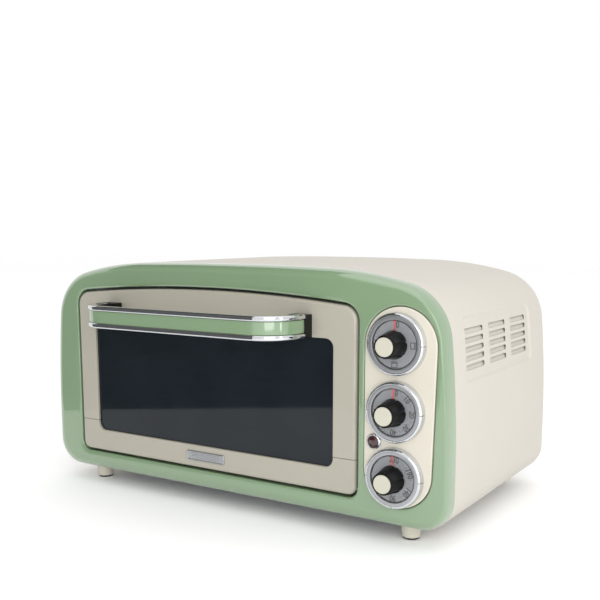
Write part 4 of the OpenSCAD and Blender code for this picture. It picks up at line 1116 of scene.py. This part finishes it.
def ring_band_profile():
    """Satin band between the ring's wall and its bore."""
    base = -PANEL_Y
    return [(RING_BORE, base + 0.1), (RING_R - 5, base + 0.1), (RING_R - 2.85, RING_H - 0.5),
            (RING_R - 2.85, RING_H - 0.12), (RING_R - 3.0, RING_H - 0.02), (RING_BORE + 0.4, RING_H - 0.02),
            (RING_BORE + 0.1, RING_H - 0.2), (RING_BORE, RING_H - 0.6)]


def build_dial(dial, z):
    """Ring, face plate, ring marks and printed scale of one dial; the ring marks are black bars painted as
    the shade of grooves.
    """
    ring = turned("ring", ring_wall_profile(), DIAL_X, z, 160)
    band = turned("band", ring_band_profile(), DIAL_X, z, 160)
    link_mesh(dial + "_ring_band", band, "cabinet", "chrome", "satin_chrome")
    base = -PANEL_Y
    edge = RING_BORE - 1.1
    plate = turned("plate", [(4, PLATE_H - 1), (18, PLATE_H - 1), (18.2, base), (RING_BORE - 0.06, base),
                             (RING_BORE - 0.06, base + 0.6), (edge, base + 0.6), (edge, PLATE_H - 0.15),
                             (edge - 0.15, PLATE_H), (4.2, PLATE_H), (4, PLATE_H - 0.2)], DIAL_X, z, 128)
    link_mesh(dial + "_dial_face", plate, "cabinet", "dial_grey", dial + "_face")
    # Ring marks: thin black bars proud of the ring's wall, painted shade in place of real grooves
    mark = Sheet()
    path = [p for p in ring_wall_profile() if p[1] > base + 1.2 and p[0] > RING_R - 2.75]
    rings = []
    for r, h in path:
        section = [(-0.2, 0.0), (0.2, 0.0), (0.2, -0.3), (-0.2, -0.3)]
        lean = Vector((r - (RING_R - 2.4), h - (RING_H - 1.95))).normalized()
        rings.append(mark.ring([(x, -(h + (d + 0.04) * lean.y) - FACE_Y / MM, r + (d + 0.04) * lean.x)
                                for x, d in section]))
    mark.bridge_all(rings)
    mark.cap(rings[0])
    mark.cap(rings[-1])
    marks = run_tree(dial + "_ring_marks", CIRCLE, mark.mesh("mark"), {
        "Count": 4, "First Angle": 0.0, "Step Angle": math.pi / 2,
        "Centre": at(DIAL_X, 0, z)}, "painted_groove_shade")
    link_mesh(dial + "_ring_marks", marks, "cabinet", "chrome", "painted_groove_shade")
    return ring


def on_dial(mesh, z, angle, radius, height):
    """Places a flat mesh drawn in X and Y upright on a dial, its top outwards."""
    a = math.radians(angle)
    right = Vector((math.cos(a), 0, -math.sin(a)))
    up = Vector((math.sin(a), 0, math.cos(a)))
    out = Vector((0, -1, 0))
    turn = Matrix((right, up, out)).transposed().to_4x4()
    centre = at(DIAL_X, -height, z) + up * radius * MM
    mesh.transform(Matrix.Translation(centre) @ turn)
    return mesh


def numeral(text, size=7.4):
    curve = bpy.data.curves.new("numeral", "FONT")
    curve.body = text
    curve.size = size * MM
    curve.align_x = "CENTER"
    curve.align_y = "CENTER"
    curve.extrude = 0.015 * MM
    curve.offset = 0.26 * MM
    curve.resolution_u = 4
    draft = bpy.data.objects.new("numeral", curve)
    bpy.context.scene.collection.objects.link(draft)
    mesh = evaluated(draft)
    mesh.transform(Matrix.Diagonal((0.8, 1, 1, 1)))
    return mesh


def strokes(lines, width=0.8):
    """Thin flat bars between pairs of points, in millimetres."""
    half_ink = Vector((0, 0, 0.015))
    bm = bmesh.new()
    for x0, y0, x1, y1 in lines:
        along = Vector((x1 - x0, y1 - y0, 0)).normalized()
        across = Vector((-along.y, along.x, 0)) * width / 2
        a, b = Vector((x0, y0, 0)) - along * width / 2, Vector((x1, y1, 0)) + along * width / 2
        corners = (a - across, b - across, b + across, a + across)
        low = [bm.verts.new((p - half_ink) * MM) for p in corners]
        top = [bm.verts.new((p + half_ink) * MM) for p in corners]
        bm.faces.new(top)
        bm.faces.new(low[::-1])
        for i in range(4):
            j = (i + 1) % 4
            bm.faces.new((low[i], low[j], top[j], top[i]))
    mesh = bpy.data.meshes.new("strokes")
    bm.to_mesh(mesh)
    bm.free()
    return mesh


def oven_symbol(lower):
    """A small oven outline with a dashed heating element at its top or foot."""
    w, h = 2.5, 2.3
    lines = [(-w, -h, w, -h), (w, -h, w, h), (w, h, -w, h), (-w, h, -w, -h)]
    y = -h + 1.1 if lower else h - 1.1
    lines += [(x - 0.3, y, x + 0.3, y) for x in (-1.2, 0, 1.2)]
    return strokes(lines)


SCALES = {
    "function": [("0", 8)],
    "timer": [("0", 8), ("10", 45), ("20", 90), ("30", 135), ("40", 180)],
    "thermostat": [("230", 4), ("190", 66), ("140", 125), ("90", 178)],
}


def build_scale(dial, z):
    """Printed numbers, symbols and dots of one dial."""
    height = PLATE_H + 0.02
    marks = [on_dial(numeral(text), z, angle, NUMERAL_R, height) for text, angle in SCALES[dial]]
    if dial == "function":
        for angle, lower in ((90, False), (180, True)):
            marks.append(on_dial(oven_symbol(lower), z, angle, NUMERAL_R, height))
    else:
        dot = turned("dot", [(0, 0), (0.42, 0), (0.42, 0.03), (0, 0.03)], 0, 0, 10)
        dot.transform(Matrix.Translation((0, -FACE_Y, NUMERAL_R * MM)))
        spans = zip(SCALES[dial], SCALES[dial][1:])
        for (text, a), (other, b) in spans:
            step = (b - a) / 5.4
            dots = run_tree(dial + "_dots", CIRCLE, dot.copy(), {
                "Count": 3, "First Angle": math.radians((a + b) / 2 - step + 1),
                "Step Angle": math.radians(step), "Centre": at(DIAL_X, -height, z)}, "marking")
            marks.append(dots)
    link_mesh(dial + "_scale", joined("scale", marks), "cabinet", "dial_grey", "marking")


def build_knob(dial, z):
    """Fluted grip, cap, and clear disc with its pointer line."""
    body = dial + "_knob"
    flutes, groove_r, groove_out = 6, 1.3, 0.5      # groove_out: its centre's place outside the wall

    def fluted(a, r, h):
        if r < CAP_R + 0.6:
            return r
        step = 2 * math.pi / flutes
        off = (a - math.radians(15) + step / 2) % step - step / 2
        reach = r * abs(off)
        if reach >= groove_r:
            return r
        return r - max(0, math.sqrt(groove_r ** 2 - reach ** 2) - groove_out)

    slope = (KNOB_R - KNOB_TIP_R) / (KNOB_H - POINTER_H)
    heights = (POINTER_H + 0.4, 10, 13, 16, 19, 22, KNOB_H - 0.7)
    wall = [(KNOB_R - slope * (h - POINTER_H), h) for h in heights]
    seat = KNOB_H - 1.1
    profile = ([(0, POINTER_H), (KNOB_R - 0.4, POINTER_H)] + wall
               + [(KNOB_TIP_R - 0.08, KNOB_H - 0.3), (KNOB_TIP_R - 0.35, KNOB_H - 0.05),
                  (KNOB_TIP_R - 0.6, KNOB_H), (CAP_R + 0.25, KNOB_H), (CAP_R + 0.04, KNOB_H - 0.2),
                  (CAP_R + 0.02, seat), (0, seat)])
    grip = turned("grip", profile, DIAL_X, z, 360, fluted, angle=28)
    link_mesh(dial + "_grip_fluted", grip, body, "black_plastic", replaces=[dial + "_grip"])
    top = KNOB_H + 0.3
    cap = turned("cap", [(0, seat), (CAP_R, seat), (CAP_R, top - 0.5), (CAP_R - 0.15, top - 0.18),
                         (CAP_R - 0.5, top - 0.02), (CAP_R - 1.2, top), (0, top)], DIAL_X, z, 96)
    link_mesh(dial + "_cap_moulded", cap, body, "cream_moulding", "cap_cream", [dial + "_cap"])
    disc_back = POINTER_H - 0.9
    disc = turned("disc", [(KNOB_R - 0.7, disc_back), (POINTER_R, disc_back), (POINTER_R, POINTER_H - 0.1),
                           (POINTER_R - 0.1, POINTER_H), (KNOB_R - 0.7, POINTER_H)], DIAL_X, z, 128)
    link_mesh(dial + "_disc_clear", disc, body, "clear_plastic", replaces=[dial + "_pointer"])
    line = on_dial(strokes([(0, KNOB_R + 0.2, 0, POINTER_R - 0.5)], 0.95), z, 0, 0, POINTER_H + 0.02)
    link_mesh(dial + "_pointer_line", line, body, "clear_plastic", "pointer_red")


def build_controls():
    for dial, z in zip(DIALS, DIAL_ZS):
        FINISHES[dial + "_face"] = spun_metal(dial + "_face", "#7F8286", DIAL_X, z)
    rings = [build_dial(dial, z) for dial, z in zip(DIALS, DIAL_ZS)]
    for dial, z in zip(DIALS, DIAL_ZS):
        build_scale(dial, z)
        build_knob(dial, z)
    link_mesh("dial_rings_chromed", joined("rings", rings), "cabinet", "chrome", replaces=["dial_rings"])
    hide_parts("dial_plates")


def build_lamp():
    base = -PANEL_Y
    bezel = turned("bezel", [(LENS_R + 0.05, -2), (LENS_R + 0.5, -2), (LENS_R + 0.5, base), (LAMP_R, base),
                             (LAMP_R, base + 0.7), (LAMP_R - 0.2, base + 1.2), (LAMP_R - 0.7, base + 1.8),
                             (LENS_R + 0.75, base + 2.15), (LENS_R + 0.4, base + 2.1),
                             (LENS_R + 0.1, base + 1.5)], LAMP_X, LAMP_Z, 72)
    link_mesh("lamp_bezel_chromed", bezel, "cabinet", "chrome", replaces=["lamp_bezel"])
    dome = [(LENS_R * math.cos(a), base + 1.5 * math.sin(a)) for a in quarter(8)]
    lens = turned("lens", [(0, -3), (LENS_R, -3)] + dome, LAMP_X, LAMP_Z, 64)
    link_mesh("lamp_lens_domed", lens, "cabinet", "red_lens", replaces=["lamp_lens"])


# ---- Inside ----

def build_rack():
    """Chromed wire rack: a round-wire frame and cross wires in a row."""
    low, high = span("wire_rack")
    frame_r, wire_r, wires = 2.2, 1.2, 19
    z = high.z - frame_r
    x0, x1 = low.x + frame_r, high.x - frame_r
    y0, y1 = low.y, high.y

    def wire(r, length):
        """A wire along Y from the origin with rounded ends."""
        profile = [(0, 0), (r * 0.6, 0.12 * r), (r, r * 0.6), (r, length - r * 0.6),
                   (r * 0.6, length - 0.12 * r), (0, length)]
        mesh = turned("wire", profile, 0, 0, 14)
        mesh.transform(Matrix.Translation((0, -FACE_Y, 0)))
        mesh.transform(Matrix.Rotation(math.pi, 4, "Z"))
        return mesh

    sides = run_tree("rack_sides", ARRAY, wire(frame_r, y1 - y0), {
        "Columns": 2, "Rows": 1, "Column Step": ((x1 - x0) * MM, 0, 0), "Row Step": (0, 0, 0)}, "chrome")
    sides.transform(Matrix.Translation(at(x0, y0, z)))
    step = (x1 - x0) / (wires + 1)
    cross = run_tree("rack_wires", ARRAY, wire(wire_r, y1 - y0 - 2 * frame_r), {
        "Columns": wires, "Rows": 1, "Column Step": (step * MM, 0, 0), "Row Step": (0, 0, 0)}, "chrome")
    cross.transform(Matrix.Translation(at(x0 + step, y0 + frame_r, z + 0.5)))
    bar = wire(frame_r - 0.3, x1 - x0)
    bar.transform(Matrix.Rotation(math.radians(-90), 4, "Z"))
    gap = (y1 - y0 - 2 * frame_r) / 2
    bars = run_tree("rack_bars", ARRAY, bar, {
        "Columns": 3, "Rows": 1, "Column Step": (0, gap * MM, 0), "Row Step": (0, 0, 0)}, "chrome")
    bars.transform(Matrix.Translation(at(x0, y0 + frame_r, z - 0.3)))
    link_mesh("wire_rack_chromed", joined("rack", [sides, cross, bars]), "rack", "chrome",
              replaces=["wire_rack"])


# Width of the broken edges of each piece whose own shape stays
EDGES_OF = {
    "oven_cavity": 0.0, "baking_tray": 0.3, "crumb_tray": 0.2, "upper_heaters": 0.3,
    "lower_heaters": 0.3, "heater_insulators": 0.4, "hinge_brackets": 0.2,
    "door_inner_frame": 0.2, "door_glass": 0.3, "door_hinge_pins": 0.2,
    "back_panel": 0.2, "bottom_panel": 0.2, "cord_gland": 0.5, "terminal_block": 0.3,
    "heat_shield": 0.0, "control_bracket": 0.0, "thermostat_bulb": 0.0,
    "lamp_holder": 0.0, "function_switch": 0.3, "timer_body": 0.3, "thermostat_body": 0.3}


def build_inside():
    build_rack()
    for node, bevel in EDGES_OF.items():
        finished_copy(node, bevel)


def finish_other_nodes():
    """The CAD nodes that stay as they are get their finish."""
    for node, piece in frame["nodes"].items():
        if not piece.hide_render:
            piece.data.materials.clear()
            piece.data.materials.append(FINISHES[SLOT_OF[node]])


# ---- Studio ----

def make_plane(name, centre, size, turn, colour):
    bm = bmesh.new()
    bmesh.ops.create_grid(bm, x_segments=1, y_segments=1, size=0.5)
    mesh = bpy.data.meshes.new(name)
    bm.to_mesh(mesh)
    bm.free()
    mesh.transform(Matrix.Diagonal((size[0], size[1], 1, 1)))
    plane = bpy.data.objects.new(name, mesh)
    plane.location = centre
    plane.rotation_euler = turn
    bpy.context.scene.collection.objects.link(plane)
    f = Finish(name, Roughness=0.9)
    base = srgb(colour)
    f.set("Base Color", f.mix(f.noise(3, 2), tuple(c * 0.985 for c in base[:3]) + (1,), base))
    mesh.materials.append(f.material)
    return plane


def add_light(name, place, target, size, power):
    lamp = bpy.data.lights.new(name, "AREA")
    lamp.shape = "RECTANGLE"
    lamp.size, lamp.size_y = size
    lamp.energy = power
    light = bpy.data.objects.new(name, lamp)
    light.location = place
    light.rotation_euler = (Vector(target) - Vector(place)).to_track_quat("-Z", "Y").to_euler()
    bpy.context.scene.collection.objects.link(light)


def add_card(name, centre, size, turn, colour):
    """A dark card that only glossy surfaces see."""
    card = make_plane(name, centre, size, turn, colour)
    card.visible_camera = False
    card.visible_diffuse = False
    card.visible_shadow = False


def build_studio():
    make_plane("floor", (0, 0, -0.0002), (12, 12), (0, 0, 0), "#FFFFFF")
    upright = math.radians(90)
    add_card("card_front_left", (-0.34, -0.47, 0.4), (0.75, 0.8), (upright, 0, math.radians(-35)), "#5C5C5C")
    add_card("card_above_left", (-0.62, -0.35, 1.0), (0.7, 1.6), (0, math.radians(-32), 0), "#101010")
    world = bpy.data.worlds.new("studio")
    bpy.context.scene.world = world
    world.use_nodes = True
    world.node_tree.nodes["Background"].inputs["Color"].default_value = (1, 1, 1, 1)
    world.node_tree.nodes["Background"].inputs["Strength"].default_value = 1.0
    add_light("strip_right", (1.25, -0.55, 0.5), (0.2, -0.1, 0.15), (0.14, 1.0), 2.2)
    add_light("softbox_right", (0.75, -1.0, 0.45), (0.2, -0.1, 0.12), (0.6, 0.85), 6)
    add_light("softbox_top", (0.1, -0.1, 1.6), (0.05, 0, 0), (1.6, 1.6), 4)
    scene = bpy.context.scene
    scene.view_settings.view_transform = "Standard"
    scene.view_settings.look = "None"


def build_camera():
    lens = bpy.data.cameras.new("camera")
    lens.lens = 52.9
    lens.sensor_width = 36
    lens.shift_x = 0.0015
    lens.shift_y = 0.121
    camera = bpy.data.objects.new("camera", lens)
    camera.location = (0.5039, -0.7666, 0.2693)
    camera.rotation_euler = (math.radians(90 - 9.26), 0, math.radians(32.56))
    bpy.context.scene.collection.objects.link(camera)
    bpy.context.scene.camera = camera


build_camera()
build_studio()
build_front_frame()
build_outer_shell()
build_louvres()
build_feet()
build_door_skin()
build_handle()
build_badge()
build_control_panel()
build_controls()
build_lamp()
build_inside()
build_screws("back_screws", (-90, 0, 0), lambda a, b: ((a.x + b.x) / 2, b.y - 1.8, (a.z + b.z) / 2))
build_screws("bottom_screws", (180, 0, 0), lambda a, b: ((a.x + b.x) / 2, (a.y + b.y) / 2, a.z + 1.8))
build_screws("door_screws", (-90, 0, 0), lambda a, b: ((a.x + b.x) / 2, b.y - 1.2, (a.z + b.z) / 2),
             r=2.8, h=1.2)
finish_other_nodes()
